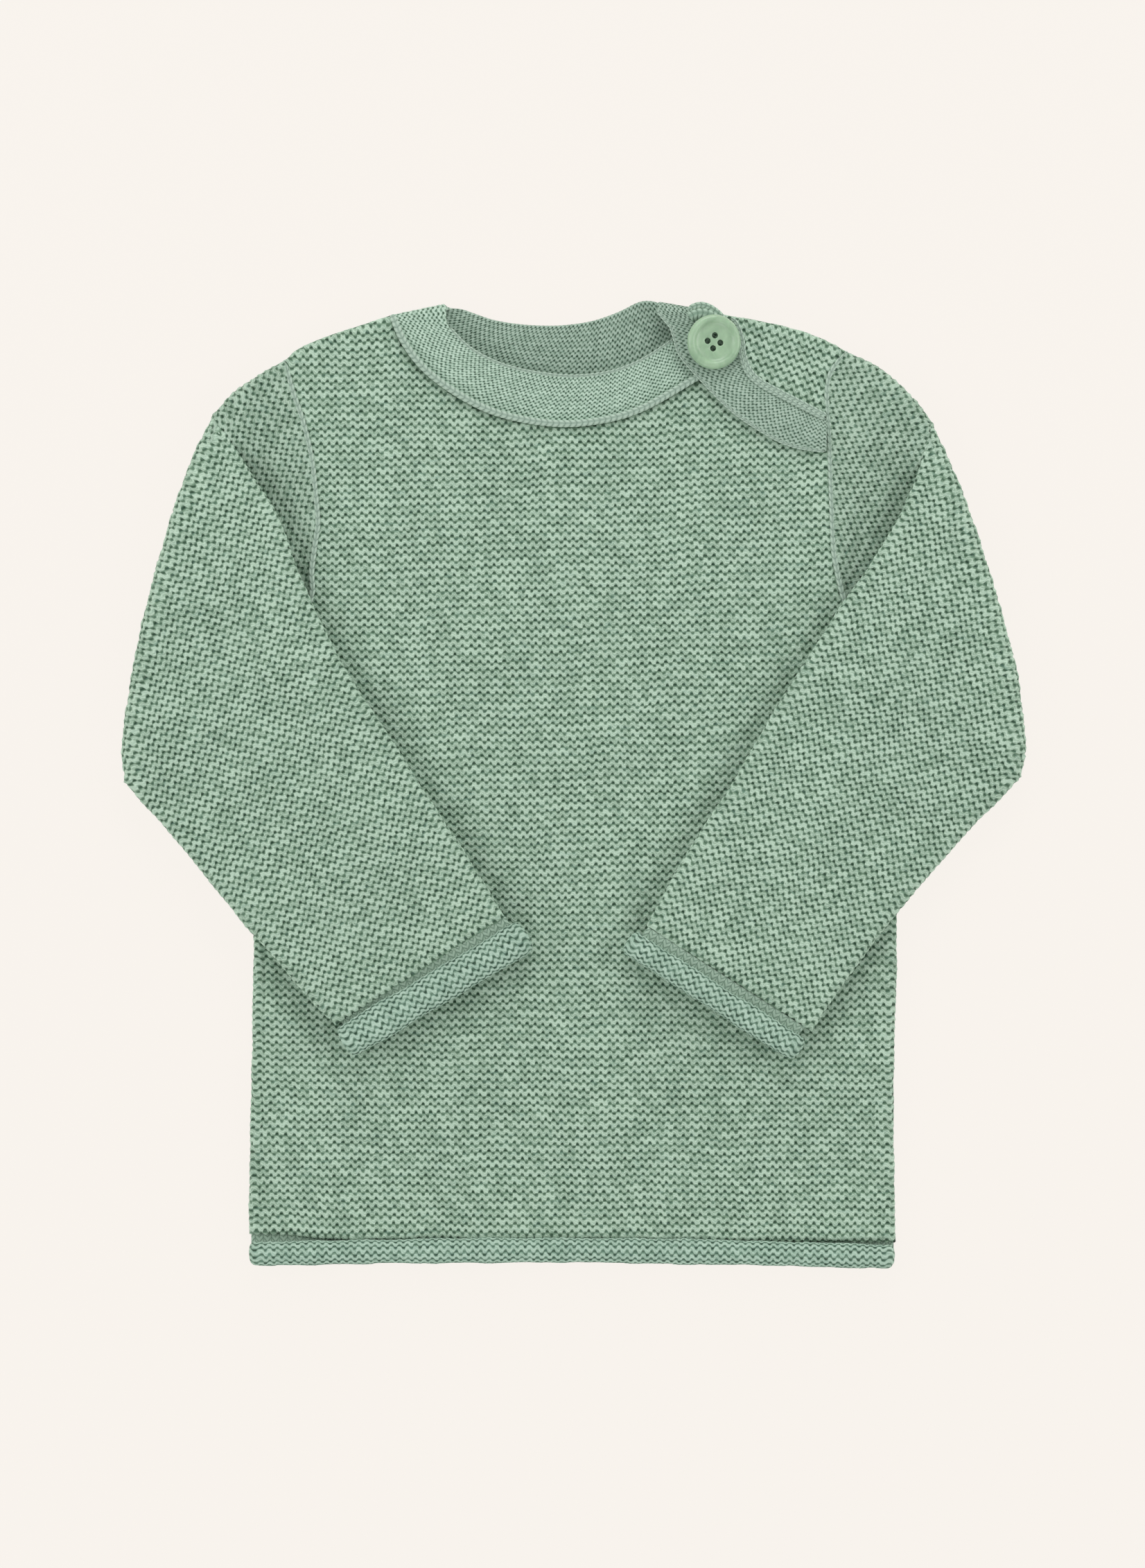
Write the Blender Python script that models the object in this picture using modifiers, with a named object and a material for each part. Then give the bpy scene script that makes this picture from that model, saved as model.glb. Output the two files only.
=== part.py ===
"""Baby sweater, laid flat on its back with both sleeves folded over the front.

A long-sleeved garter-knit body with a fine-knit neckband, a leaf-shaped
placket flap closed by one four-hole button on the wearer's left shoulder,
and rolled hem and cuffs. Sizes are in millimetres and are scaled to metres
when the meshes are made. The garment lies in the XY plane: +Y runs towards
the neck, +X towards the wearer's left, and +Z up out of the front.
"""

import math

import bmesh
import bpy
import numpy as np
from mathutils import Matrix, Vector

MM = 0.001

# ---------------------------------------------------------------- sizes (mm)
KNIT = 2.6           # wall of the garter knit
SLACK = 1.2          # air between the two walls of a tube lying flat
BAND = 2.4           # wall of the doubled fine-knit neckband
FLAP = 2.0           # wall of the fine-knit placket flap
SEAM_GAP = 0.9       # clear line between two pieces along a seam
REST = 0.6           # air between the front and a sleeve lying on it

BACK_Z = KNIT / 2                        # middle of the back's wall
FRONT_Z = BACK_Z + KNIT + SLACK          # middle of the front's wall
TUBE_Z = (BACK_Z + FRONT_Z) / 2          # middle of a tube lying flat
TUBE_R = (FRONT_Z - BACK_Z) / 2          # half the spacing of its two walls
EDGE_R = 1.5                             # roll of a panel's edge to its seam
EDGE_UP = TUBE_R - EDGE_R - 0.15         # straight end of that roll
TUBE_H = 2 * TUBE_R + KNIT               # whole thickness of a flat tube
EDGE_IN = EDGE_R + KNIT / 2              # outline to the start of that roll
FOLD_R = (TUBE_H + REST) / 2             # sleeve fold: axis to tube middle
FOLD_Z = TUBE_H + REST / 2               # sleeve fold: height of its axis
FOLD_IN = FOLD_R + TUBE_H / 2            # outline to the fold's axis
FOLD_SLIP = 9.0                          # shift of the tube's edges round it

HEM_WIDTH, HEM_HEIGHT, ROLL_GAP = 8.6, 4.2, 0.3
CUFF_HEIGHT, CUFF_LIFT = 4.0, 1.2

BUTTON_D, BUTTON_H = 19.6, 3.4
BUTTON_AT = (50.4, 159.6, 10.3)
BUTTON_TILT = (math.radians(4.0), math.radians(10.0))
HOLE_D, HOLE_CIRCLE, HOLE_TURN = 2.3, 4.7, math.radians(-8.0)

# Outline of the body, from hem to shoulder point: columns are
# ("y", "x of the right side", "x of the left side"), wearer's right and left.
BODY_SIDES = [
    (-164.6, -117.0, 116.5),
    (-142.5, -117.0, 116.0),
    (-105.0, -116.2, 115.8),
    (-67.5, -115.6, 116.8),
    (-17.5, -115.2, 117.0),
    (15.0, -115.0, 117.0),
    (30.0, -114.0, 115.6),
    (43.0, -109.0, 111.2),
    (54.0, -102.0, 105.0),
]
# Armhole seams: ("x", "y") from the armpit curve up to the shoulder point.
ARMHOLE_RIGHT = [(-96.5, 62.0), (-94.0, 69.0), (-94.2, 76.5), (-93.2, 85.0),
                 (-92.0, 94.0), (-92.8, 104.5), (-94.2, 117.0),
                 (-97.2, 130.0), (-101.3, 142.5), (-104.0, 153.0)]
ARMHOLE_LEFT = [(99.0, 63.5), (96.6, 70.0), (94.9, 77.5), (93.7, 86.0),
                (93.0, 104.5), (92.2, 126.0), (91.4, 139.0),
                (92.2, 146.5), (94.8, 151.5), (99.0, 156.0)]
ARMHOLE_LEFT_FRONT = 6          # rows of that table up to the placket

SHOULDER_RIGHT = [(-104.0, 153.0), (-99.0, 157.3), (-89.0, 161.6),
                  (-79.0, 164.9), (-69.0, 168.2), (-65.5, 169.4)]
SHOULDER_LEFT = [(52.0, 170.0), (61.0, 168.4), (71.0, 166.5), (81.0, 163.9),
                 (91.0, 160.2), (99.0, 156.0)]
NECK_FRONT = [(-65.5, 168.4), (-60.5, 158.5), (-52.5, 148.6), (-40.0, 139.6),
              (-26.5, 133.4), (-8.5, 130.0), (7.5, 130.6), (24.5, 135.2),
              (44.4, 146.2)]
NECK_BACK = [(-65.5, 167.6), (-57.0, 157.5), (-44.0, 151.8), (-29.0, 149.0),
             (-17.0, 147.8), (-5.0, 147.2), (8.0, 148.2), (19.5, 151.8),
             (31.0, 157.0), (40.0, 163.0), (46.0, 168.0)]
# Front edge hidden under the placket flap.
UNDERLAP = [(44.4, 146.2), (53.5, 140.6), (64.5, 133.4), (76.0, 127.6),
            (92.0, 123.4)]
BAND_EDGE_FRONT = [(-47.2, 167.5), (-38.0, 157.6), (-26.5, 151.4),
                   (-13.2, 148.1), (0.8, 146.9), (14.2, 148.6),
                   (24.5, 152.6), (34.6, 159.0)]
# Edge of the shoulder over the placket, carrying the chain edging.
PLACKET_TOP = [(54.0, 169.0), (58.0, 165.6), (60.0, 160.4), (61.0, 154.0),
               (63.2, 148.5), (67.4, 144.4), (74.5, 140.5), (82.0, 136.6),
               (91.2, 131.8)]

BAND_EDGE_BACK = [(-45.2, 169.6), (-37.6, 169.6), (-29.6, 168.0), (-20.6, 166.4),
                  (-12.2, 165.8), (-3.4, 165.8), (6.0, 167.0), (14.0, 168.9),
                  (19.8, 170.0), (24.8, 169.8)]

# Placket flap from the neck fold down to its tip: ("low x", "low y",
# "low height", "up x", "up y", "up height"); low is its free edge and up the
# sewn one, and heights are above the middle of the front's wall.
FLAP_ROWS = [(35.0, 165.2, 3.7, 51.6, 166.8, 2.4),
             (36.6, 159.7, 3.7, 58.0, 160.8, 1.4),
             (38.8, 153.8, 3.6, 59.8, 153.4, 0.6),
             (46.9, 144.6, 3.1, 62.0, 147.0, 0.3),
             (56.6, 134.8, 2.7, 68.8, 142.0, 0.3),
             (67.5, 127.2, 2.7, 77.4, 137.2, 0.3),
             (78.3, 121.8, 2.7, 84.8, 133.2, 0.3),
             (91.0, 119.6, 2.7, 90.6, 130.2, 0.5)]

# Sleeve sections after the armhole: ("part", "top edge x", "top edge y",
# "underarm edge x", "underarm edge y", "bow towards the body", "lift").
# "under" lies on the surface and "over" lies on the front, turned over.
SLEEVE_RIGHT = [
    ("under", -114.0, 147.4, -134.0, 22.5, 4.0, 0.0),
    ("over", -112.8, 107.0, -157.0, -4.6, 0.0, 0.0),
    ("over", -102.4, 84.0, -145.4, -17.8, 0.0, 0.0),
    ("over", -90.0, 55.0, -130.4, -36.4, 0.0, 0.0),
    ("over", -73.0, 27.5, -117.2, -52.0, 0.0, 0.0),
    ("over", -54.0, -2.5, -104.5, -67.0, 0.0, 0.0),
    ("over", -37.5, -28.0, -94.6, -78.2, 0.0, 0.5),
    ("over", -23.2, -50.2, -85.2, -86.9, 0.0, CUFF_LIFT),
]
SLEEVE_LEFT = [
    ("under", 112.0, 149.4, 134.0, 23.5, 3.0, 0.0),
    ("over", 119.0, 98.6, 156.0, -3.4, 0.0, 0.0),
    ("over", 108.2, 80.8, 143.2, -16.4, 0.0, 0.0),
    ("over", 89.5, 53.5, 128.6, -32.4, 0.0, 0.0),
    ("over", 70.2, 22.5, 114.0, -49.8, 0.0, 0.0),
    ("over", 53.2, -5.5, 102.2, -65.4, 0.0, 0.0),
    ("over", 38.4, -30.6, 92.6, -78.6, 0.0, 0.5),
    ("over", 24.8, -53.4, 84.2, -91.4, 0.0, CUFF_LIFT),
]
# Outline of each fold, from the shoulder down to the elbow: ("x", "y").
FOLD_RIGHT = [(-129.6, 132.8), (-136.0, 120.5), (-141.2, 107.5), (-148.2, 85.0),
              (-154.2, 62.5), (-159.0, 40.0), (-162.1, 20.0), (-162.3, 10.0),
              (-161.4, 1.0)]
FOLD_LEFT = [(129.2, 129.8), (136.5, 114.5), (142.2, 100.0), (147.4, 85.0),
             (154.2, 62.5), (160.0, 40.0), (162.4, 22.0), (162.4, 10.0),
             (160.8, 2.4)]
# Where nothing lies under a folded sleeve beside the body: a line from the
# armpit to the elbow, and how far the sleeve sinks beyond it.
SAG = 3.6
GAP_RIGHT = ((-115.0, 32.0), (-157.0, 8.0))
GAP_LEFT = ((117.0, 32.0), (157.0, 11.0))

# Rolled cuffs: ("x0", "y0", "x1", "y1", "width of the roll").
CUFF_RIGHT = (-79.2, -91.3, -20.1, -56.3, 12.0)
CUFF_LEFT = (23.1, -58.6, 78.2, -93.8, 9.0)
HEM_LINE = [(-112.6, -169.5), (-57.0, -168.5), (0.0, -168.2), (57.0, -169.0),
            (111.6, -170.5)]
HEM_TOP = [(-117.0, -164.9), (-57.0, -163.7), (0.0, -163.3), (57.0, -164.2),
           (116.5, -165.7)]

# ------------------------------------------------------------------- meshing
COLS_SHOULDER, COLS_NECK = 5, 10
ROWS_SIDE, ROWS_ARMHOLE = 5, 9
SLEEVE_WALL = ROWS_ARMHOLE + 1   # points across each wall of a sleeve
SIDE_TO = 6                      # rows of BODY_SIDES below the armhole seam


def srgb(r, g, b):
    return tuple((c / 255 / 12.92) if c / 255 <= 0.04045
                 else ((c / 255 + 0.055) / 1.055) ** 2.4 for c in (r, g, b))


def material(name, rgb, rough, metallic=0.0):
    mat = bpy.data.materials.new(name)
    mat.use_nodes = True
    bsdf = mat.node_tree.nodes["Principled BSDF"]
    bsdf.inputs["Base Color"].default_value = (*srgb(*rgb), 1.0)
    bsdf.inputs["Roughness"].default_value = rough
    bsdf.inputs["Metallic"].default_value = metallic
    mat.diffuse_color = (*srgb(*rgb), 1.0)
    return mat


# ---------------------------------------------------------------- plan curves
def smooth(points, per=12):
    """Dense curve through the points, each span a cubic."""
    p = np.array(points, float)
    ends = np.vstack([2 * p[0] - p[1], p, 2 * p[-1] - p[-2]])
    t = np.linspace(0, 1, per, endpoint=False)[:, None]
    out = []
    for a, b, c, d in zip(ends, ends[1:], ends[2:], ends[3:]):
        out.append(0.5 * (2 * b + (c - a) * t + (2 * a - 5 * b + 4 * c - d) * t ** 2
                          + (3 * b - a - 3 * c + d) * t ** 3))
    return np.vstack([*out, p[-1:]])


def spaced(points, count, trim=(0.0, 0.0)):
    """count + 1 points at even spacing along a curve, less a trim at each end."""
    p = np.array(points, float)
    steps = np.linalg.norm(np.diff(p[:, :2], axis=0), axis=1)
    run = np.concatenate([[0], np.cumsum(steps)])
    at = np.linspace(trim[0], run[-1] - trim[1], count + 1)
    return np.stack([np.interp(at, run, p[:, i]) for i in range(p.shape[1])], axis=1)


def trimmed(points, start, end):
    """The same corners with the first and last moved in along their spans."""
    p = np.array(points, float)
    a, b = p[1] - p[0], p[-2] - p[-1]
    p[0] += a / np.linalg.norm(a) * start
    p[-1] += b / np.linalg.norm(b) * end
    return p


def normals(points):
    """Unit normals on the left-hand side of a plan curve."""
    d = np.gradient(np.array(points, float), axis=0)
    d /= np.linalg.norm(d, axis=1)[:, None]
    return np.stack([-d[:, 1], d[:, 0]], axis=1)


def moved(points, amount):
    """The curve moved to its left-hand side by an amount, or one per point."""
    p = np.array(points, float)
    return p + normals(p) * np.broadcast_to(np.asarray(amount, float), (len(p),))[:, None]


def coons(left, right, bottom, top):
    """Grid of plan points filling four boundary curves."""
    nv, nu = len(left) - 1, len(bottom) - 1
    grid = np.zeros((nv + 1, nu + 1, 2))
    for i in range(nv + 1):
        v = i / nv
        for j in range(nu + 1):
            u = j / nu
            grid[i, j] = ((1 - v) * bottom[j] + v * top[j] + (1 - u) * left[i] + u * right[i]
                          - (1 - u) * (1 - v) * bottom[0] - u * (1 - v) * bottom[-1]
                          - (1 - u) * v * top[0] - u * v * top[-1])
    return grid


# ------------------------------------------------------------- mesh assembly
class Cloth:
    """An open surface of lofted rows, given its wall by a Solidify modifier."""

    def __init__(self):
        self.bm = bmesh.new()
        self.seen = {}

    def vert(self, p):
        key = tuple(round(float(c), 4) for c in p)
        if key not in self.seen:
            self.seen[key] = self.bm.verts.new([float(c) * MM for c in p])
        return self.seen[key]

    def face(self, *points):
        vs = []
        for p in points:
            v = self.vert(p)
            if v not in vs:
                vs.append(v)
        if len(vs) > 2:
            self.bm.faces.new(vs)

    def rows(self, rows, closed=False):
        for a, b in zip(rows, rows[1:]):
            n = len(a)
            for j in range(n if closed else n - 1):
                k = (j + 1) % n
                self.face(a[j], a[k], b[k], b[j])

    def finish(self, name, wall, mat, home, even=True):
        bmesh.ops.recalc_face_normals(self.bm, faces=self.bm.faces)
        obj = finish(self.bm, name, mat, home)
        mod = obj.modifiers.new("wall", "SOLIDIFY")
        mod.thickness = wall * MM
        mod.offset = 0.0
        mod.use_even_offset = even
        return obj


def finish(bm, name, mat, home):
    mesh = bpy.data.meshes.new(name)
    bm.to_mesh(mesh)
    bm.free()
    obj = bpy.data.objects.new(name, mesh)
    home.objects.link(obj)
    mesh.materials.append(mat)
    mesh.shade_smooth()
    mesh.set_sharp_from_angle(angle=math.radians(50))
    return obj


def lifted(points, z):
    p = np.array(points, float)
    return np.column_stack([p, np.broadcast_to(np.asarray(z, float), (len(p),))])


def rolled(points, out, z, sign):
    """Rows that turn a panel's edge up (+1) or down (-1) to its seam."""
    rows = [lifted(points, z)]
    for a in (math.radians(45), math.radians(90)):
        rows.append(lifted(points + out * EDGE_R * math.sin(a),
                           z + sign * EDGE_R * (1 - math.cos(a))))
    rows.append(lifted(points + out * EDGE_R, z + sign * (EDGE_R + EDGE_UP)))
    return rows


def armhole_line(column, armhole):
    """The seam's corners from the underarm up to the shoulder point."""
    side = [(row[column], row[0]) for row in BODY_SIDES[SIDE_TO:]]
    return spaced(smooth(side + list(armhole)), ROWS_ARMHOLE)


def side_curve(column, armhole, sign):
    """Body side and armhole from hem to shoulder, set in from the outline."""
    seam = armhole_line(column, armhole)
    side = smooth([(row[column], row[0]) for row in BODY_SIDES[:SIDE_TO + 1]])
    side = spaced(side, ROWS_SIDE)
    low = moved(side, -EDGE_IN * sign)
    high = moved(seam, -SEAM_GAP / 2 * sign)
    high[0] = low[-1]
    return np.vstack([low[:-1], high])


def front_panel(mat, home):
    left = side_curve(1, ARMHOLE_RIGHT, 1)
    right = side_curve(2, ARMHOLE_LEFT, -1)
    shoulder = moved(spaced(smooth(SHOULDER_RIGHT), COLS_SHOULDER), -EDGE_IN)
    neck = moved(spaced(smooth(NECK_FRONT), COLS_NECK), -SEAM_GAP / 2)
    under = spaced(smooth(UNDERLAP), COLS_SHOULDER)
    # The placket cuts the left armhole short: respace its shorter side.
    keep = int(np.sum(right[:, 1] < under[-1][1]))
    right = np.vstack([right[:keep], [np.array((np.interp(under[-1][1], right[keep - 1:keep + 1, 1],
                                                          right[keep - 1:keep + 1, 0]), under[-1][1]))]])
    top = np.vstack([shoulder[:-1], neck[:-1], under])
    top[0] = left[-1]
    top[COLS_SHOULDER] = neck[0] + (0.0, -EDGE_IN * 0.9)
    top[COLS_SHOULDER + COLS_NECK] = neck[-1]
    top[-1] = right[-1]
    hem = spaced(smooth(HEM_TOP), len(top) - 1, (EDGE_IN, EDGE_IN))
    hem[0], hem[-1] = left[0], right[0]
    # Both sides need the same number of corners, so short spans are doubled up.
    while len(right) < len(left):
        gaps = np.linalg.norm(np.diff(right, axis=0), axis=1)
        k = int(np.argmax(gaps))
        right = np.insert(right, k + 1, (right[k] + right[k + 1]) / 2, axis=0)
    cloth = Cloth()
    grid = coons(left, right, hem, top)
    cloth.rows([lifted(row, FRONT_Z) for row in grid])
    side = left[:ROWS_SIDE + 1]
    cloth.rows(rolled(side, normals(side), FRONT_Z, -1))
    side = right[right[:, 1] < left[ROWS_SIDE, 1] + 0.1]
    cloth.rows(rolled(side, -normals(side), FRONT_Z, -1))
    edge = top[:COLS_SHOULDER + 1]
    cloth.rows(rolled(edge, normals(edge), FRONT_Z, -1))
    return cloth.finish("front", KNIT, mat, home)


def back_panel(mat, home):
    left = side_curve(1, ARMHOLE_RIGHT, 1)
    right = side_curve(2, ARMHOLE_LEFT, -1)
    shoulder = moved(spaced(smooth(SHOULDER_RIGHT), COLS_SHOULDER), -EDGE_IN)
    neck = moved(spaced(smooth(NECK_BACK), COLS_NECK), -SEAM_GAP / 2)
    fold_in = TUBE_R + KNIT / 2
    fold = moved(spaced(smooth(SHOULDER_LEFT), COLS_SHOULDER), -fold_in)
    seam = right[-3:]
    fold[-1] = seam[-1] - (seam[-1] - seam[-2]) * 0.5 + (-0.9, 0.0)
    right[-1] = fold[-1]
    top = np.vstack([shoulder[:-1], neck[:-1], fold])
    top[0] = left[-1]
    top[COLS_SHOULDER] = neck[0] + (0.0, -EDGE_IN * 0.6)
    hem = spaced(smooth(HEM_TOP), len(top) - 1, (EDGE_IN, EDGE_IN))
    hem[0], hem[-1] = left[0], right[0]
    cloth = Cloth()
    grid = coons(left, right, hem, top)
    cloth.rows([lifted(row, BACK_Z) for row in grid])
    for edge, sign in ((left, 1), (right, -1)):
        edge = edge[:ROWS_SIDE + 1]
        cloth.rows(rolled(edge, normals(edge) * sign, BACK_Z, 1))
    edge = top[:COLS_SHOULDER + 1]
    cloth.rows(rolled(edge, normals(edge), BACK_Z, 1))
    # The left shoulder turns over to the front and runs down to the placket.
    out = normals(fold)
    rows = [lifted(fold, BACK_Z)]
    for a in (45, 90, 135, 180):
        a = math.radians(a)
        rows.append(lifted(fold + out * TUBE_R * math.sin(a),
                           TUBE_Z - TUBE_R * math.cos(a)))
    cloth.rows(rows)
    placket = spaced(smooth(PLACKET_TOP), 24, (4.0, 0.0))
    corner = int(np.argmin(np.linalg.norm(placket - np.array((61.0, 154.0)), axis=1)))
    start = spaced(np.vstack([fold[:1], placket[:corner + 1]]), 4)
    low = spaced(placket[corner:], COLS_SHOULDER)
    arm = right[right[:, 1] > low[-1][1] + 1.0][::-1]
    end = np.array((np.interp(low[-1][1], right[:, 1], right[:, 0]), low[-1][1]))
    arm = spaced(np.vstack([arm, [end]]), 4) - (0.3, 0.0)
    arm[0] = fold[-1]
    start[-1], low[-1] = low[0], arm[-1]
    yoke = coons(start, arm, fold, low)
    cloth.rows([lifted(row, FRONT_Z) for row in yoke])
    return cloth.finish("back", KNIT, mat, home)


def sag(p, corner):
    """How far a folded sleeve sinks beside the body, at a plan point."""
    armpit, elbow = (np.array(c) for c in corner)
    side = np.sign(elbow[0] - armpit[0])
    beside = side * (p[0] - armpit[0])
    edge = (elbow - armpit) / np.linalg.norm(elbow - armpit)
    below = -side * (edge[0] * (p[1] - armpit[1]) - edge[1] * (p[0] - armpit[0]))
    d = min(beside, below, 24.0)
    if d <= 0:
        return 0.0
    t = d / 24.0
    return SAG * t * t * (3 - 2 * t)


def sleeve(name, column, armhole, table, fold, corner, mat, home):
    """Tube of flattened rings, folded over along a line across its grain."""
    sign = 1 if column == 1 else -1
    trim = TUBE_R + KNIT / 2
    up, down = np.array((0, 0, 1.0)), np.array((0, 0, -1.0))

    def ring(line, middle, up):
        """Ring of two walls with round ends: plan line, its middle, its up."""
        d0 = np.append(line[0] - line[1], 0)
        d1 = np.append(line[-1] - line[-2], 0)
        d0, d1 = d0 / np.linalg.norm(d0), d1 / np.linalg.norm(d1)
        turn = [math.radians(a) for a in (45, 0, -45)]
        pts = [m + up * TUBE_R for m in middle]
        pts += [middle[-1] + (d1 * math.cos(a) + up * math.sin(a)) * TUBE_R for a in turn]
        pts += [m - up * TUBE_R for m in middle[::-1]]
        pts += [middle[0] + (d0 * math.cos(a) + up * math.sin(a)) * TUBE_R
                for a in turn[::-1]]
        return pts

    def bowed(row):
        t, u = np.array(row[1:3]), np.array(row[3:5])
        f = np.linspace(0, 1, 13)[:, None]
        across = (u - t) / np.linalg.norm(u - t)
        body = np.array([across[1], -across[0]])
        body *= np.sign(body[0] * sign)
        return t + (u - t) * f + body * row[5] * 4 * f * (1 - f)

    # Armhole: the seam from the shoulder point round to the underarm.
    seam = moved(armhole_line(column, armhole), SEAM_GAP / 2 * sign)[::-1]
    seam = trimmed(seam, trim, 0.4)
    rings = [ring(seam, lifted(seam, TUBE_Z), up)]
    row = table[0]
    line = spaced(bowed(row), SLEEVE_WALL - 1, (trim, trim))
    rings.append(ring(line, lifted(line, TUBE_Z), up))
    # The fold: rings turn about an axis set in from its outline, and slip
    # along it as the tube's two edges come round.
    outline = smooth(fold)
    facing = normals(outline) * -sign
    whole = np.hstack([outline - facing * FOLD_IN, facing])
    for phi in (0, 45, 90, 135, 180):
        a = math.radians(phi)
        ends = (trim + FOLD_SLIP * phi / 360, trim + FOLD_SLIP * (1 - phi / 180))
        line = spaced(whole, SLEEVE_WALL - 1, ends)
        axis, out = line[:, :2], line[:, 2:]
        middle = lifted(axis + out * FOLD_R * math.sin(a), FOLD_Z - FOLD_R * math.cos(a))
        ups = np.column_stack([-out * math.sin(a), np.full(len(out), math.cos(a))])
        pts = [m + n * TUBE_R for m, n in zip(middle, ups)]
        for k in (45, 0, -45):
            k = math.radians(k)
            d = np.append(axis[-1] - axis[-2], 0)
            d /= np.linalg.norm(d)
            pts.append(middle[-1] + (d * math.cos(k) + ups[-1] * math.sin(k)) * TUBE_R)
        pts += [m - n * TUBE_R for m, n in zip(middle[::-1], ups[::-1])]
        for k in (-45, 0, 45):
            k = math.radians(k)
            d = np.append(axis[0] - axis[1], 0)
            d /= np.linalg.norm(d)
            pts.append(middle[0] + (d * math.cos(k) + ups[0] * math.sin(k)) * TUBE_R)
        rings.append(pts)
    for row in table[1:]:
        line = spaced(bowed(row), SLEEVE_WALL - 1, (trim, trim))
        z = [TUBE_Z + 2 * FOLD_R + row[6] - sag(p, corner) for p in line]
        rings.append(ring(line, lifted(line, z), down))
    cloth = Cloth()
    cloth.rows(rings, closed=True)
    return cloth.finish(name, KNIT, mat, home, even=False)


def neckband(mat, home):
    """Strip of doubled fine knit round the neck, folded at the right shoulder."""
    across = np.linspace(0, 1, 5)
    # Front half: from the placket to the right shoulder, over the back half.
    seam = moved(spaced(smooth(NECK_FRONT), COLS_NECK), SEAM_GAP / 2)
    seam = trimmed(seam, 1.4, 3.4)[::-1]
    edge = spaced(smooth(BAND_EDGE_FRONT), COLS_NECK, (0.6, 0.0))[::-1]
    rows = []
    for k, (s, e) in enumerate(zip(seam, edge)):
        rise = 0.9 * math.sin(math.pi * (k + 1) / (COLS_NECK + 2)) ** 0.7
        rows.append([(*(s + (e - s) * g), FRONT_Z + 0.1 + rise * g) for g in across])
    # Fold over the right shoulder.
    fold = np.array([(-64.4, 169.6), (-46.6, 173.8)])
    d = (fold[1] - fold[0]) / np.linalg.norm(fold[1] - fold[0])
    out = np.array([-d[1], d[0]])
    top_z, low_z = FRONT_Z + 0.1, BAND / 2
    r = (top_z - low_z) / 2
    axis = fold - out * (r + BAND / 2)
    for phi in (0, 45, 90, 135, 180):
        a = math.radians(phi)
        shift = out * r * math.sin(a)
        rows.append([(*(axis[0] + (axis[1] - axis[0]) * g + shift),
                      low_z + r + r * math.cos(a)) for g in across])
    seam = moved(spaced(smooth(NECK_BACK), COLS_NECK), SEAM_GAP / 2)
    seam = trimmed(seam, 1.4, 5.6)
    edge = spaced(smooth(BAND_EDGE_BACK), COLS_NECK)
    for s, e in zip(seam[1:], edge[1:]):
        rows.append([(*(s + (e - s) * g), low_z) for g in across])
    cloth = Cloth()
    cloth.rows(rows)
    return cloth.finish("neckband", BAND, mat, home)


def placket_flap(mat, home):
    """Leaf-shaped flap: turns up over the shoulder and lies on the front."""
    cross = 5
    rows = []
    fold = np.array([(30.6, 174.2), (43.8, 171.9)])
    d = (fold[1] - fold[0]) / np.linalg.norm(fold[1] - fold[0])
    out = np.array([-d[1], d[0]])
    low_z, top_z = FLAP / 2 + 0.2, FRONT_Z + 3.7
    r = (top_z - low_z) / 2
    axis = fold - out * (r + FLAP / 2)
    for phi in (0, 36, 72, 108, 144, 180):
        a = math.radians(phi)
        shift = out * r * math.sin(a)
        z = low_z + r - r * math.cos(a)
        rows.append([(*(axis[0] + (axis[1] - axis[0]) * g + shift), z)
                     for g in np.linspace(0, 1, cross + 1)])
    for lx, ly, lz, ux, uy, uz in FLAP_ROWS:
        row = []
        for g in np.linspace(0, 1, cross + 1):
            drop = max(0.0, (g - 0.35) / 0.65)
            drop = drop * drop * (3 - 2 * drop)
            row.append((lx + (ux - lx) * g, ly + (uy - ly) * g,
                        FRONT_Z + lz + (uz - lz) * drop))
        rows.append(row)
    cloth = Cloth()
    cloth.rows(rows)
    return cloth.finish("placket_flap", FLAP, mat, home)


def cord(name, points, radius, mat, home, resolution=2):
    """Round cord along a line of points: a curve with filled caps."""
    data = bpy.data.curves.new(name, "CURVE")
    data.dimensions = "3D"
    spline = data.splines.new("POLY")
    spline.points.add(len(points) - 1)
    for q, p in zip(spline.points, points):
        q.co = (p[0] * MM, p[1] * MM, p[2] * MM, 1.0)
    data.bevel_depth = radius * MM
    data.bevel_resolution = resolution
    data.use_fill_caps = True
    obj = bpy.data.objects.new(name, data)
    data.materials.append(mat)
    home.objects.link(obj)
    return obj


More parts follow.
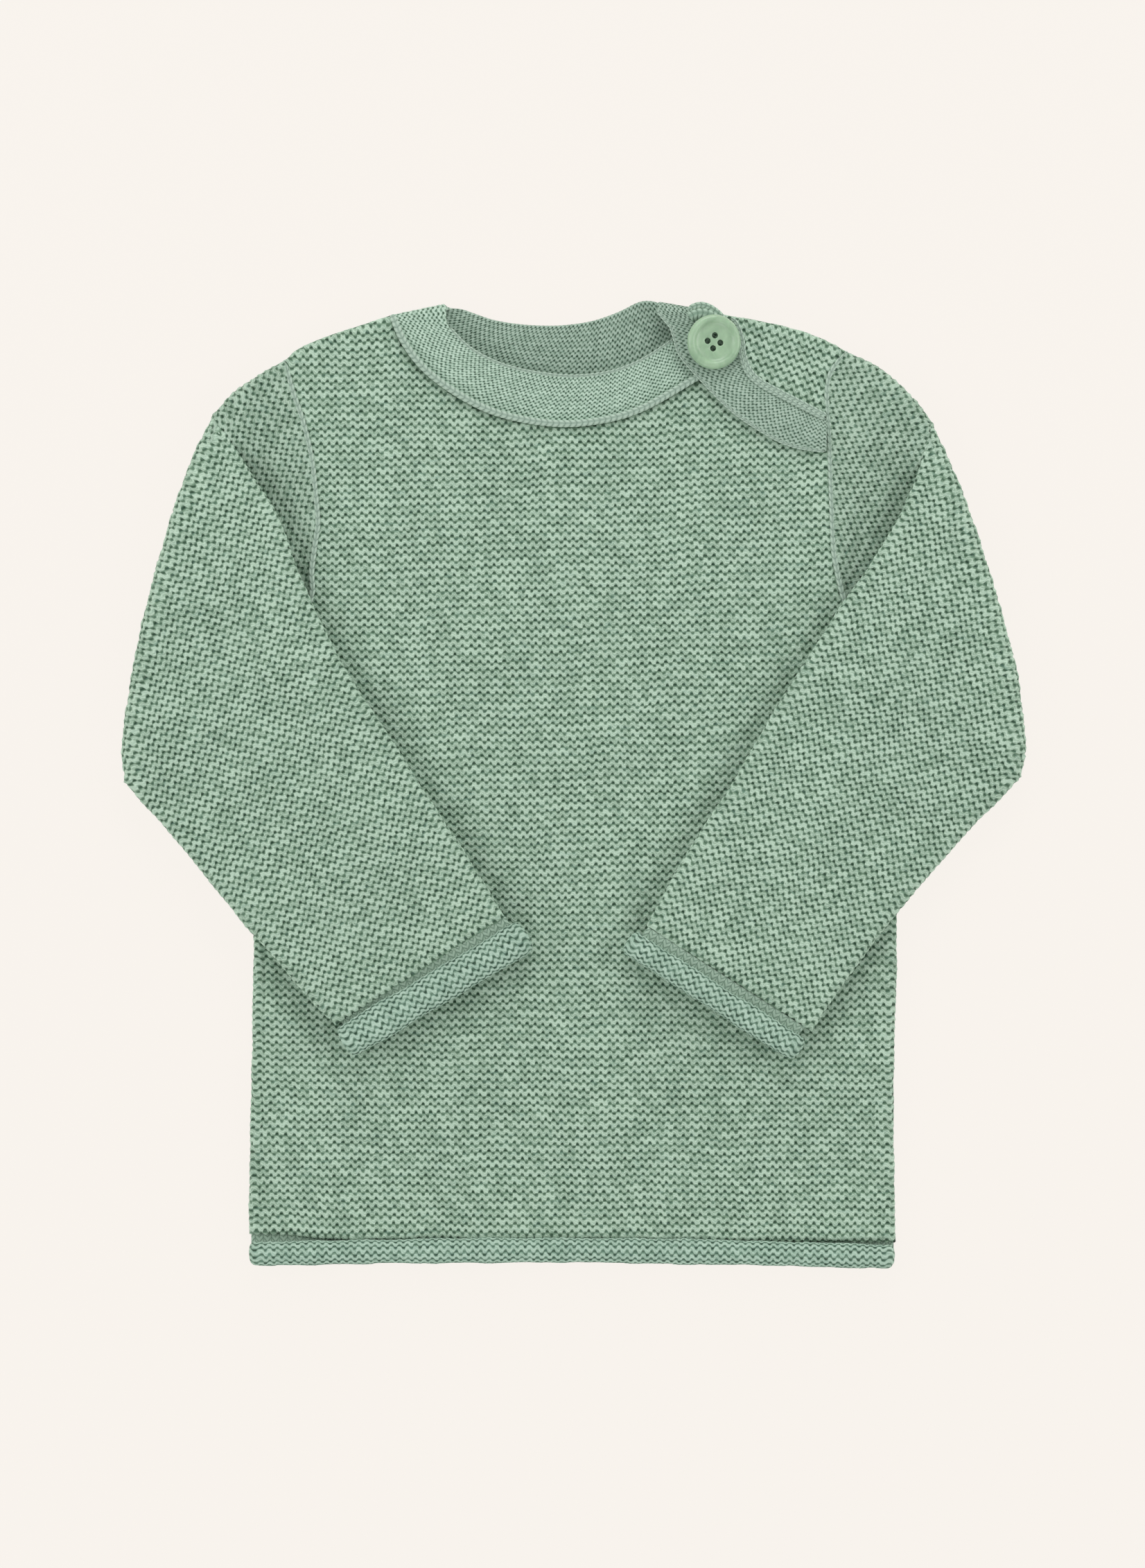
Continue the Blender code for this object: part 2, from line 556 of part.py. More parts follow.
def roll_ring(name, line, width, height, z_low, z_high, mat, home):
    """Rolled edge: one solid roll that runs along the top and back below."""
    n_round, n_end = 10, 5
    line = np.array(line, float)
    r = (z_high - z_low) / 2
    mid = (z_high + z_low) / 2
    tan = np.gradient(line, axis=0)
    tan /= np.linalg.norm(tan, axis=1)[:, None]
    side = np.stack([-tan[:, 1], tan[:, 0]], axis=1)
    frames = []
    for p, s in zip(line, side):
        frames.append((np.append(p, z_low), np.append(s, 0), np.array((0, 0, -1.0))))
    for k in range(1, n_end):
        a = math.pi * k / n_end - math.pi / 2
        n = np.append(tan[-1] * math.cos(a), math.sin(a))
        frames.append((np.append(line[-1], mid) + n * r, np.append(side[-1], 0), n))
    for p, s in zip(line[::-1], side[::-1]):
        frames.append((np.append(p, z_high), np.append(s, 0), np.array((0, 0, 1.0))))
    for k in range(1, n_end):
        a = math.pi / 2 + math.pi * k / n_end
        n = np.append(tan[0] * math.cos(a), math.sin(a))
        frames.append((np.append(line[0], mid) + n * r, np.append(side[0], 0), n))
    bm = bmesh.new()
    rings = []
    for centre, s, n in frames:
        ring = []
        for k in range(n_round):
            a = 2 * math.pi * k / n_round
            p = centre + s * width / 2 * math.cos(a) + n * height / 2 * math.sin(a)
            ring.append(bm.verts.new([float(c) * MM for c in p]))
        rings.append(ring)
    for a, b in zip(rings, rings[1:] + rings[:1]):
        for j in range(n_round):
            k = (j + 1) % n_round
            bm.faces.new((a[j], a[k], b[k], b[j]))
    bmesh.ops.recalc_face_normals(bm, faces=bm.faces)
    return finish(bm, name, mat, home)


def button(mat, home, cutters):
    """Turned four-hole button with a raised rim, tilted on the flap."""
    rad, h = BUTTON_D / 2, BUTTON_H
    # ("radius", "height") from the dish over the rim and down to the back.
    profile = [(0.0, h - 1.1), (4.6, h - 1.05), (6.6, h - 0.75), (7.5, h - 0.15),
               (8.0, h), (8.6, h - 0.1), (9.3, h - 0.7), (rad, h - 1.5),
               (9.5, h - 2.2), (8.4, h - 2.8), (6.4, 0.12), (5.6, 0.0), (0.0, 0.0)]
    bm = bmesh.new()
    verts = [bm.verts.new((r * MM, 0.0, z * MM)) for r, z in profile]
    for a, b in zip(verts, verts[1:]):
        bm.edges.new((a, b))
    obj = finish(bm, "button", mat, home)
    screw = obj.modifiers.new("turn", "SCREW")
    screw.axis = "Z"
    screw.steps = screw.render_steps = 36
    screw.use_merge_vertices = True
    screw.merge_threshold = 0.00001
    place = (Matrix.Translation(Vector(BUTTON_AT) * MM)
             @ Matrix.Rotation(BUTTON_TILT[0], 4, "X")
             @ Matrix.Rotation(BUTTON_TILT[1], 4, "Y"))
    obj.matrix_world = place
    for k in range(4):
        a = HOLE_TURN + math.pi / 2 * k
        drill = bmesh.new()
        bmesh.ops.create_cone(drill, cap_ends=True, segments=14,
                              radius1=HOLE_D / 2 * MM, radius2=HOLE_D / 2 * MM,
                              depth=8 * MM)
        cut = finish(drill, "hole_cutter_%d" % (k + 1), mat, cutters)
        spot = Vector((math.cos(a), math.sin(a), 0)) * (HOLE_CIRCLE / 2 * MM)
        cut.matrix_world = place @ Matrix.Translation(spot + Vector((0, 0, h / 2 * MM)))
        cut.hide_render = True
        cut.display_type = "WIRE"
        mod = obj.modifiers.new("hole_%d" % (k + 1), "BOOLEAN")
        mod.operation = "DIFFERENCE"
        mod.solver = "EXACT"
        mod.object = cut
    return obj


def on_front(points, extra):
    """Points of a seam line on the front's face, moved out by an amount."""
    return lifted(points, FRONT_Z + KNIT / 2 + extra)


def main():
    for obj in list(bpy.data.objects):
        bpy.data.objects.remove(obj, do_unlink=True)
    home = bpy.data.collections.new("sweater")
    cutters = bpy.data.collections.new("cutters")
    bpy.context.scene.collection.children.link(home)
    bpy.context.scene.collection.children.link(cutters)

    garter = material("garter_knit", (149, 175, 155), 0.92)
    fine = material("fine_knit", (151, 178, 160), 0.9)
    shell = material("button_green", (152, 182, 153), 0.38)

    front_panel(garter, home)
    back_panel(garter, home)
    sleeve("sleeve_right", 1, ARMHOLE_RIGHT, SLEEVE_RIGHT, FOLD_RIGHT, GAP_RIGHT,
           garter, home)
    sleeve("sleeve_left", 2, ARMHOLE_LEFT, SLEEVE_LEFT, FOLD_LEFT, GAP_LEFT,
           garter, home)
    neckband(fine, home)
    placket_flap(fine, home)
    seam = spaced(smooth(NECK_FRONT), 20, (6.0, 2.2))
    cord("neck_seam_chain", on_front(seam, 0.75 + 0.45), 0.75, fine, home)
    edging = moved(spaced(smooth(PLACKET_TOP), 16, (3.0, 1.2)), 1.1)
    cord("shoulder_edging", on_front(edging, 0.9 + 0.35), 0.9, fine, home)
    cord("loop_end", [(44.8, 168.6, 11.4), (45.4, 170.3, 11.0), (47.0, 171.6, 10.6),
                      (49.2, 171.8, 10.2), (51.2, 170.6, 9.9), (52.4, 168.9, 9.7)],
         1.0, fine, home)
    hem = smooth(HEM_LINE, 4)
    z_low = HEM_HEIGHT / 2
    roll_ring("hem_roll", spaced(hem, 12), HEM_WIDTH, HEM_HEIGHT, z_low,
              z_low + HEM_HEIGHT + ROLL_GAP, fine, home)
    middle = TUBE_Z + 2 * FOLD_R + CUFF_LIFT
    half = (CUFF_HEIGHT + ROLL_GAP) / 2
    for name, (x0, y0, x1, y1, width) in (("cuff_roll_right", CUFF_RIGHT),
                                          ("cuff_roll_left", CUFF_LEFT)):
        line = np.linspace((x0, y0), (x1, y1), 7)
        roll_ring(name, line, width, CUFF_HEIGHT, middle - half, middle + half, fine, home)
    button(shell, home, cutters)
    centre(home, cutters)


def centre(home, cutters):
    """Move everything so the box's bottom centre is the origin."""
    bpy.context.view_layer.update()
    graph = bpy.context.evaluated_depsgraph_get()
    low, high = np.full(3, np.inf), np.full(3, -np.inf)
    for obj in home.objects:
        ev = obj.evaluated_get(graph)
        mesh = ev.to_mesh()
        co = np.empty(len(mesh.vertices) * 3, np.float32)
        mesh.vertices.foreach_get("co", co)
        world = np.array(ev.matrix_world)
        co = co.reshape(-1, 3) @ world[:3, :3].T + world[:3, 3]
        low, high = np.minimum(low, co.min(0)), np.maximum(high, co.max(0))
        ev.to_mesh_clear()
    shift = Matrix.Translation((-(low[0] + high[0]) / 2, -(low[1] + high[1]) / 2, -low[2]))
    for obj in list(home.objects) + list(cutters.objects):
        obj.matrix_world = shift @ obj.matrix_world


main()
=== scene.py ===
"""Baby sweater laid flat with its sleeves folded over the front.

Every knitted surface is a thin closed shell whose points lie on the stitches
of its knit, so that the ridges and their loops are real relief, and its UV map
counts wales and ridges for the yarn that the materials draw. Sizes are in
millimetres, in the CAD's frame before it was centred, and SHIFT moves them.
"""

import math

import bpy
import numpy as np
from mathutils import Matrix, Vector, geometry, kdtree


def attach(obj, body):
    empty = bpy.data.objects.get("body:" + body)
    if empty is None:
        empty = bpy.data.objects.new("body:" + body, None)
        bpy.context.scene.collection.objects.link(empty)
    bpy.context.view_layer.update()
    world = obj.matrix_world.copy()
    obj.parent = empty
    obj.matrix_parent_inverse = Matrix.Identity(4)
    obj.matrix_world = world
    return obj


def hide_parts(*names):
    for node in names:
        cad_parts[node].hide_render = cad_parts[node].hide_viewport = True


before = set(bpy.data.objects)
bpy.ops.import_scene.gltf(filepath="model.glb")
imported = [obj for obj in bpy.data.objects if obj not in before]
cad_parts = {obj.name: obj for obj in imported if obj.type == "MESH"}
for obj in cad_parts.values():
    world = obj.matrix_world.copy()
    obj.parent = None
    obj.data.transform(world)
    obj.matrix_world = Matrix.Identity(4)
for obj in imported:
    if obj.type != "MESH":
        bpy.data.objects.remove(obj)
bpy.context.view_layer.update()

SHIFT = np.array([-0.1106, 0.4218, 0.0216])

# ------------------------------------------------------------ outlines (mm)
SIDE_RIGHT = [(-117.0, -162.6), (-117.0, -142.5), (-116.2, -105.0), (-115.6, -67.5),
              (-115.2, -17.5), (-115.0, 15.0), (-114.0, 30.0), (-109.0, 43.0),
              (-102.0, 54.0)]
SIDE_LEFT = [(116.5, -165.4), (116.0, -142.5), (115.8, -105.0), (116.8, -67.5),
             (117.0, -17.5), (117.0, 15.0), (115.6, 30.0), (111.2, 43.0),
             (105.0, 54.0)]
ARM_RIGHT = [(-102.0, 54.0), (-96.5, 62.0), (-94.0, 69.0), (-94.2, 76.5), (-93.2, 85.0),
             (-92.0, 94.0), (-92.8, 104.5), (-94.2, 117.0), (-97.2, 130.0),
             (-101.3, 142.5), (-104.0, 153.0)]
ARM_LEFT = [(105.0, 54.0), (99.0, 63.5), (96.6, 70.0), (94.9, 77.5), (93.7, 86.0),
            (93.0, 104.5), (92.2, 126.0), (91.4, 139.0), (92.2, 146.5),
            (94.8, 151.5), (99.0, 156.0)]
SHOULDER_RIGHT = [(-104.0, 153.0), (-99.0, 157.3), (-89.0, 161.6), (-79.0, 164.9),
                  (-69.0, 168.2), (-65.5, 169.4)]
SHOULDER_LEFT = [(52.0, 170.0), (61.0, 168.4), (71.0, 166.5), (81.0, 163.9),
                 (91.0, 160.2), (99.0, 156.0)]
NECK_FRONT = [(-65.5, 169.4), (-60.5, 158.5), (-52.5, 148.6), (-40.0, 139.6),
              (-26.5, 133.4), (-8.5, 130.0), (7.5, 130.6), (24.5, 135.2),
              (47.2, 148.0)]
NECK_BACK = [(-65.5, 169.4), (-57.0, 157.5), (-44.0, 151.8), (-29.0, 149.0),
             (-17.0, 147.8), (-5.0, 146.4), (8.0, 145.6), (19.5, 147.4),
             (31.0, 152.0), (41.0, 159.5), (52.0, 170.0)]
UNDERLAP = [(47.2, 148.0), (56.0, 142.0), (64.5, 133.4), (76.0, 127.6), (91.9, 123.4)]
BAND_FRONT = [(-47.2, 167.5), (-38.0, 157.6), (-26.5, 151.4), (-13.2, 148.1),
              (0.8, 146.9), (14.2, 148.6), (24.5, 152.6), (34.6, 159.0), (37.0, 161.0)]
BAND_BACK = [(-46.0, 172.4), (-41.8, 172.2), (-36.4, 170.4), (-29.2, 167.9), (-20.6, 166.4),
             (-12.2, 165.8), (-3.4, 165.9), (6.0, 167.2), (12.0, 169.0),
             (18.0, 171.4), (22.6, 173.9), (26.4, 174.9), (31.0, 174.0), (37.0, 171.5)]
PLACKET = [(54.0, 169.0), (58.0, 165.6), (60.0, 160.4), (61.0, 154.0), (63.2, 148.5),
           (67.4, 144.4), (74.5, 140.5), (82.0, 136.6), (91.2, 131.8)]
# Flap: free edge, sewn edge and the height of each above the front's middle.
FLAP = [(35.0, 165.2, 3.7, 51.6, 167.4, 2.4), (36.6, 159.7, 3.7, 58.6, 161.0, 1.4),
        (38.8, 153.8, 3.6, 60.6, 153.9, 0.8), (46.9, 144.6, 3.1, 63.2, 148.0, 0.7),
        (56.6, 134.8, 2.7, 69.8, 143.1, 0.7), (67.5, 127.2, 2.7, 78.2, 138.3, 0.7),
        (78.3, 121.8, 2.7, 85.4, 134.6, 0.7), (91.2, 119.6, 2.7, 91.4, 131.9, 0.8)]
HEM_TOP = [(-117.0, -162.6), (-104.0, -162.9), (-92.0, -164.2), (-75.0, -164.9),
           (-57.0, -164.8), (0.0, -164.5), (57.0, -165.3), (116.5, -165.4)]
HEM_LINE = [(-112.6, -169.5), (-57.0, -168.5), (0.0, -168.2), (57.0, -169.0),
            (111.6, -170.5)]

# Sleeves. Lines start at the fold's corner at the shoulder, or at its elbow.
SLEEVES = {
    "right": dict(
        fold=[(-129.6, 132.8), (-136.0, 120.5), (-141.2, 107.5), (-148.2, 85.0),
              (-154.2, 62.5), (-159.0, 40.0), (-162.1, 20.0), (-162.6, 10.0),
              (-161.4, 1.0)],
        over_top=[(-129.6, 132.8), (-122.6, 122.0), (-112.8, 107.0), (-105.9, 95.5),
                  (-99.8, 79.0), (-92.6, 62.0), (-80.6, 39.0), (-67.6, 19.5),
                  (-53.4, -3.0), (-37.2, -27.5), (-24.4, -48.3)],
        over_low=[(-161.4, 1.0), (-157.0, -5.0), (-144.2, -19.2), (-131.0, -35.4),
                  (-118.3, -50.6), (-107.4, -62.8), (-96.6, -75.6), (-85.2, -86.9)],
        under_top=[(-129.6, 132.8), (-122.6, 141.2), (-114.0, 147.4), (-104.0, 153.0)],
        under_low=[(-161.4, 1.0), (-134.0, 21.5), (-114.0, 38.0), (-102.0, 54.0)],
        arm=ARM_RIGHT, axis=(0.545, -0.839), near=(-0.820, -0.572), pitch=(2.70, 2.95),
        gap=((-115.0, 32.0), (-157.0, 8.0))),
    "left": dict(
        fold=[(129.2, 129.8), (136.5, 114.5), (142.2, 100.0), (147.4, 85.0),
              (154.2, 62.5), (160.0, 40.0), (162.4, 22.0), (162.9, 10.0),
              (160.8, 2.4)],
        over_top=[(129.2, 129.8), (123.6, 111.0), (118.2, 98.4), (112.5, 88.0),
                  (105.8, 77.2), (98.0, 66.5), (89.0, 52.6), (72.2, 26.0),
                  (57.4, 0.5), (41.8, -23.6), (26.2, -51.2)],
        over_low=[(160.8, 2.4), (154.4, -5.0), (146.0, -13.4), (139.6, -20.4),
                  (126.0, -35.6), (113.4, -50.4), (102.4, -64.8), (93.0, -78.0),
                  (85.6, -89.2)],
        under_top=[(129.2, 129.8), (123.6, 138.2), (112.0, 149.4), (99.0, 156.0)],
        under_low=[(160.8, 2.4), (134.0, 23.5), (115.6, 38.0), (105.0, 54.0)],
        arm=ARM_LEFT, axis=(-0.574, -0.819), near=(0.850, -0.527), pitch=(2.35, 3.10),
        gap=((117.0, 32.0), (157.0, 11.0))),
}
CUFFS = {"right": (-79.2, -91.3, -20.1, -56.3, 12.0),
         "left": (23.1, -58.6, 78.2, -93.8, 9.0)}

FRONT_TOP, FRONT_LOW, SIDE_Z = 6.4, 3.85, 3.2
FOLD_R, OVER_TOP, OVER_LOW, OVER_MID = 6.7, 13.4, 7.05, 10.2
SAG = 3.6
WALE, RIDGE = 2.92, 2.87
HOLE = 0.9                      # how softly a loop falls into the hole beside it
FINE_WALE, FINE_COURSE = 1.78, 1.72


# ------------------------------------------------------------------- curves
def smooth(points, per=12):
    p = np.array(points, float)
    ends = np.vstack([2 * p[0] - p[1], p, 2 * p[-1] - p[-2]])
    t = np.linspace(0, 1, per, endpoint=False)[:, None]
    out = []
    for a, b, c, d in zip(ends, ends[1:], ends[2:], ends[3:]):
        out.append(0.5 * (2 * b + (c - a) * t + (2 * a - 5 * b + 4 * c - d) * t ** 2
                          + (3 * b - a - 3 * c + d) * t ** 3))
    return np.vstack([*out, p[-1:]])


def length(p):
    return float(np.linalg.norm(np.diff(p, axis=0), axis=1).sum())


def spaced(points, count, trim=(0.0, 0.0)):
    p = np.array(points, float)
    run = np.concatenate([[0], np.cumsum(np.linalg.norm(np.diff(p, axis=0), axis=1))])
    at = np.linspace(trim[0], run[-1] - trim[1], count + 1)
    return np.stack([np.interp(at, run, p[:, i]) for i in range(p.shape[1])], axis=1)


def dense(points, step=0.8):
    p = smooth(points)
    return spaced(p, max(2, round(length(p) / step)))


def normals(points):
    d = np.gradient(np.array(points, float), axis=0)
    d /= np.maximum(np.linalg.norm(d, axis=1), 1e-9)[:, None]
    return np.stack([-d[:, 1], d[:, 0]], axis=1)


def step01(x):
    t = np.clip(x, 0, 1)
    return t * t * (3 - 2 * t)


def waves(x, y, size, seed):
    """Smooth uneven field from -1 to 1, with features of about that size."""
    rng = np.random.RandomState(seed)
    out = np.zeros(np.broadcast(x, y).shape)
    for _ in range(6):
        a = rng.uniform(0, 2 * math.pi)
        k = 2 * math.pi / (size * rng.uniform(0.7, 1.9))
        out = out + np.sin(k * (math.cos(a) * x + math.sin(a) * y) + rng.uniform(0, 6.28))
    return out / 3.2


def hashed(i, j, seed):
    """Value from 0 to 1 for each pair of whole numbers."""
    s = np.sin(np.asarray(i) * 12.9898 + np.asarray(j) * 78.233 + seed * 37.719) * 43758.5453
    return s - np.floor(s)


def inside(poly, q):
    x, y = q[:, 0], q[:, 1]
    out = np.zeros(len(q), bool)
    for (x0, y0), (x1, y1) in zip(poly, np.roll(poly, -1, axis=0)):
        cross = (y0 > y) != (y1 > y)
        with np.errstate(divide="ignore", invalid="ignore"):
            out ^= cross & (x < (x1 - x0) * (y - y0) / (y1 - y0) + x0)
    return out


class Line:
    """Polyline that points are measured against."""

    def __init__(self, pts, value=None):
        self.p = np.array(pts, float)
        self.value = None if value is None else np.array(value, float)
        self.tree = kdtree.KDTree(len(self.p))
        for i, (x, y) in enumerate(self.p):
            self.tree.insert((x, y, 0.0), i)
        self.tree.balance()

    def near(self, q):
        """Distance, foot and fractional index of the nearest point."""
        k = np.array([self.tree.find((x, y, 0.0))[1] for x, y in q], int)
        best = np.full(len(q), np.inf)
        foot, at = np.zeros((len(q), 2)), np.zeros(len(q))
        for first in (np.maximum(k - 1, 0), np.minimum(k, len(self.p) - 2)):
            a, b = self.p[first], self.p[first + 1]
            ab = b - a
            t = np.clip(((q - a) * ab).sum(1) / np.maximum((ab ** 2).sum(1), 1e-12), 0, 1)
            f = a + ab * t[:, None]
            d = np.linalg.norm(q - f, axis=1)
            take = d < best
            best[take], foot[take], at[take] = d[take], f[take], (first + t)[take]
        return best, foot, at


# -------------------------------------------------------------- knit lattice
def yarn(u, v, amp, half, ratio=1.0):
    """Height from 0 to 1 of the yarn's wave at wale u and ridge v."""
    c = np.cos(2 * math.pi * u)
    wave = c * (1.5 - 0.5 * c * c)
    w = v - amp * wave
    slope = amp * 2 * math.pi * np.sin(2 * math.pi * u) * (1.5 - 1.5 * c * c) * ratio
    d = (w - np.floor(w) - 0.5) / np.sqrt(1 + slope ** 2) / half
    h = step01((1 - d * d + HOLE) / (1 + HOLE))
    return 1 - (1 - h) * (0.74 + 0.2 * wave * wave + 0.06 * wave)


class Knit:
    """Flat field of stitches: (u, v) counts wales and ridges from (x, y)."""

    def __init__(self, across, up, wale, ridge, origin=(0.0, 0.0), seed=1, bend=None,
                 amp=0.19, half=0.33, height=0.66):
        self.a, self.b = np.array(across, float), np.array(up, float)
        self.wale, self.ridge, self.o = wale, ridge, np.array(origin, float)
        self.seed, self.bend, self.amp, self.half, self.height = seed, bend, amp, half, height

    def shift(self, q):
        """How far the stitches have strayed from their regular places."""
        x, y = q[:, 0], q[:, 1]
        s = self.seed * 10
        dx = 0.55 * waves(x, y, 30, s) + 0.2 * waves(x, y, 9, s + 1)
        dy = 0.5 * waves(x, y, 34, s + 2) + 0.2 * waves(x, y, 8, s + 3)
        out = np.stack([dx, dy], axis=1)
        if self.bend is not None:
            out = out + self.bend(x, y)
        return out

    def uv(self, q):
        p = q - self.o - self.shift(q)
        return np.stack([p @ self.a / self.wale, p @ self.b / self.ridge], axis=1)

    def place(self, uv):
        p0 = (uv[:, :1] * self.wale * self.a + uv[:, 1:] * self.ridge * self.b) + self.o
        q = p0.copy()
        for _ in range(4):
            q = p0 + self.shift(q)
        return q

    def points(self, low, high, fine=True):
        """Lattice points over a box, with their (u, v)."""
        corners = np.array([(x, y) for x in (low[0], high[0]) for y in (low[1], high[1])])
        c = self.uv(corners)
        u0, v0 = np.floor(c.min(0)) - 2
        u1, v1 = np.ceil(c.max(0)) + 2
        out = []
        if fine:
            for du, dv in ((0, .75), (.5, .75), (.25, .5), (.75, .5), (0, .25), (.5, .25),
                           (.25, 0), (.75, 0)):
                g = np.meshgrid(np.arange(u0, u1) + du, np.arange(v0, v1) + dv)
                out.append(np.stack([g[0].ravel(), g[1].ravel()], axis=1))
        else:
            g = np.meshgrid(np.arange(u0, u1, 2.0), np.arange(v0, v1, 2.0))
            out.append(np.stack([g[0].ravel(), g[1].ravel()], axis=1))
        uv = np.vstack(out)
        return self.place(uv), uv

    def relief(self, uv):
        cell = hashed(np.floor(uv[:, 0] + 0.25), np.floor(uv[:, 1]), self.seed)
        h = yarn(uv[:, 0], uv[:, 1], self.amp, self.half, self.ridge / self.wale)
        return self.height * (h * (0.8 + 0.4 * cell) - 0.5)


# --------------------------------------------------------------------- skin
class Skin:
    """Triangles in millimetres, joined where patches share a rim."""

    def __init__(self):
        self.co, self.lift, self.faces, self.uv, self.mat = [], [], [], [], []
        self.key = {}

    def add(self, p, lift=0.0, shared=False):
        if shared:
            key = tuple(np.round(p, 3))
            if key in self.key:
                return self.key[key]
            self.key[key] = len(self.co)
        self.co.append(p)
        self.lift.append(lift)
        return len(self.co) - 1

    def grid(self, pts, uv, lift, mat=0, wrap=True, ends=False, flip=False):
        """Structured rows (n, m, 3): wrap joins each row's ends and ends
        joins the last row to the first."""
        n, m = pts.shape[:2]
        base = len(self.co)
        self.co.extend(pts.reshape(-1, 3))
        self.lift.extend(lift.reshape(-1))
        for i in range(n if ends else n - 1):
            i2 = (i + 1) % n
            for j in range(m if wrap else m - 1):
                j2 = (j + 1) % m
                q = [(i, j), (i, j2), (i2, j2), (i2, j)]
                ids = [base + a * m + b for a, b in q]
                # uv has one more row and column, so that it doesn't jump back
                c = [uv[i, j], uv[i, j + 1], uv[i + 1, j + 1], uv[i + 1, j]]
                if flip:
                    ids, c = ids[::-1], c[::-1]
                self.faces.append(tuple(ids))
                self.uv.append(c)
                self.mat.append(mat)
        return base

    def cap(self, ids, mat=0, uv=(0.0, 0.0)):
        """Fan that closes a ring of points."""
        mid = self.add(np.mean([self.co[i] for i in ids], axis=0))
        for a, b in zip(ids, list(ids[1:]) + [ids[0]]):
            self.faces.append((a, b, mid))
            self.uv.append([uv, uv, uv])
            self.mat.append(mat)

    def outward(self, first):
        """Turns the closed part made of the faces from first on to face out."""
        co, total = self.co, 0.0
        for f in self.faces[first:]:
            for k in range(1, len(f) - 1):
                total += float(np.dot(co[f[0]], np.cross(co[f[k]], co[f[k + 1]])))
        if total < 0:
            for i in range(first, len(self.faces)):
                self.faces[i] = self.faces[i][::-1]
                self.uv[i] = self.uv[i][::-1]

    def sharp_rims(self, mesh, new):
        """Edges along shared rims where the cloth's two faces meet sharply."""
        rim = {int(new[i]) for i in self.key.values()}
        pairs = {}
        for p in mesh.polygons:
            vs = list(p.vertices)
            for a, b in zip(vs, vs[1:] + vs[:1]):
                if a in rim and b in rim:
                    pairs.setdefault((min(a, b), max(a, b)), []).append(p.normal.copy())
        sharp = {k for k, n in pairs.items() if len(n) == 2 and n[0].dot(n[1]) < 0.5}
        flags = [tuple(sorted(e.vertices)) in sharp for e in mesh.edges]
        mark = mesh.attributes.new("sharp_edge", "BOOLEAN", "EDGE")
        mark.data.foreach_set("value", flags)

    def make(self, name, mats, body="root", relief=True):
        co = np.array(self.co, float)
        used = np.zeros(len(co), bool)
        for f in self.faces:
            used[list(f)] = True
        new = np.cumsum(used) - 1
        faces = [tuple(int(new[i]) for i in f) for f in self.faces]
        co, lift = co[used], np.array(self.lift, float)[used]
        mesh = bpy.data.meshes.new(name)
        mesh.from_pydata(co.tolist(), [], faces)
        mesh.update()
        if relief:
            nor = np.zeros(len(co) * 3, np.float32)
            mesh.vertex_normals.foreach_get("vector", nor)
            co = co + nor.reshape(-1, 3) * lift[:, None]
        co = (co + SHIFT) * 0.001
        mesh.vertices.foreach_set("co", co.astype(np.float32).ravel())
        layer = mesh.uv_layers.new(name="knit")
        layer.data.foreach_set("uv", np.array([c for f in self.uv for c in f],
                                              np.float32).ravel())
        mesh.polygons.foreach_set("material_index", np.array(self.mat, np.int32))
        for m in mats:
            mesh.materials.append(m)
        mesh.shade_smooth()
        if self.key:
            self.sharp_rims(mesh, new)
        mesh.update()
        obj = bpy.data.objects.new(name, mesh)
        bpy.context.scene.collection.objects.link(obj)
        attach(obj, body)
        return obj


class Rim:
    """Part of a patch's outline: plan line, its height and the radius of the
    roll over it, each one number or one for each point."""

    def __init__(self, line, z, r):
        self.line = np.array(line, float)
        n = len(self.line)
        self.z = np.broadcast_to(np.asarray(z, float), (n,)).copy()
        self.r = np.broadcast_to(np.asarray(r, float), (n,)).copy()

    def back(self):
        return Rim(self.line[::-1], self.z[::-1], self.r[::-1])

    def with_r(self, r):
        return Rim(self.line, self.z, r)


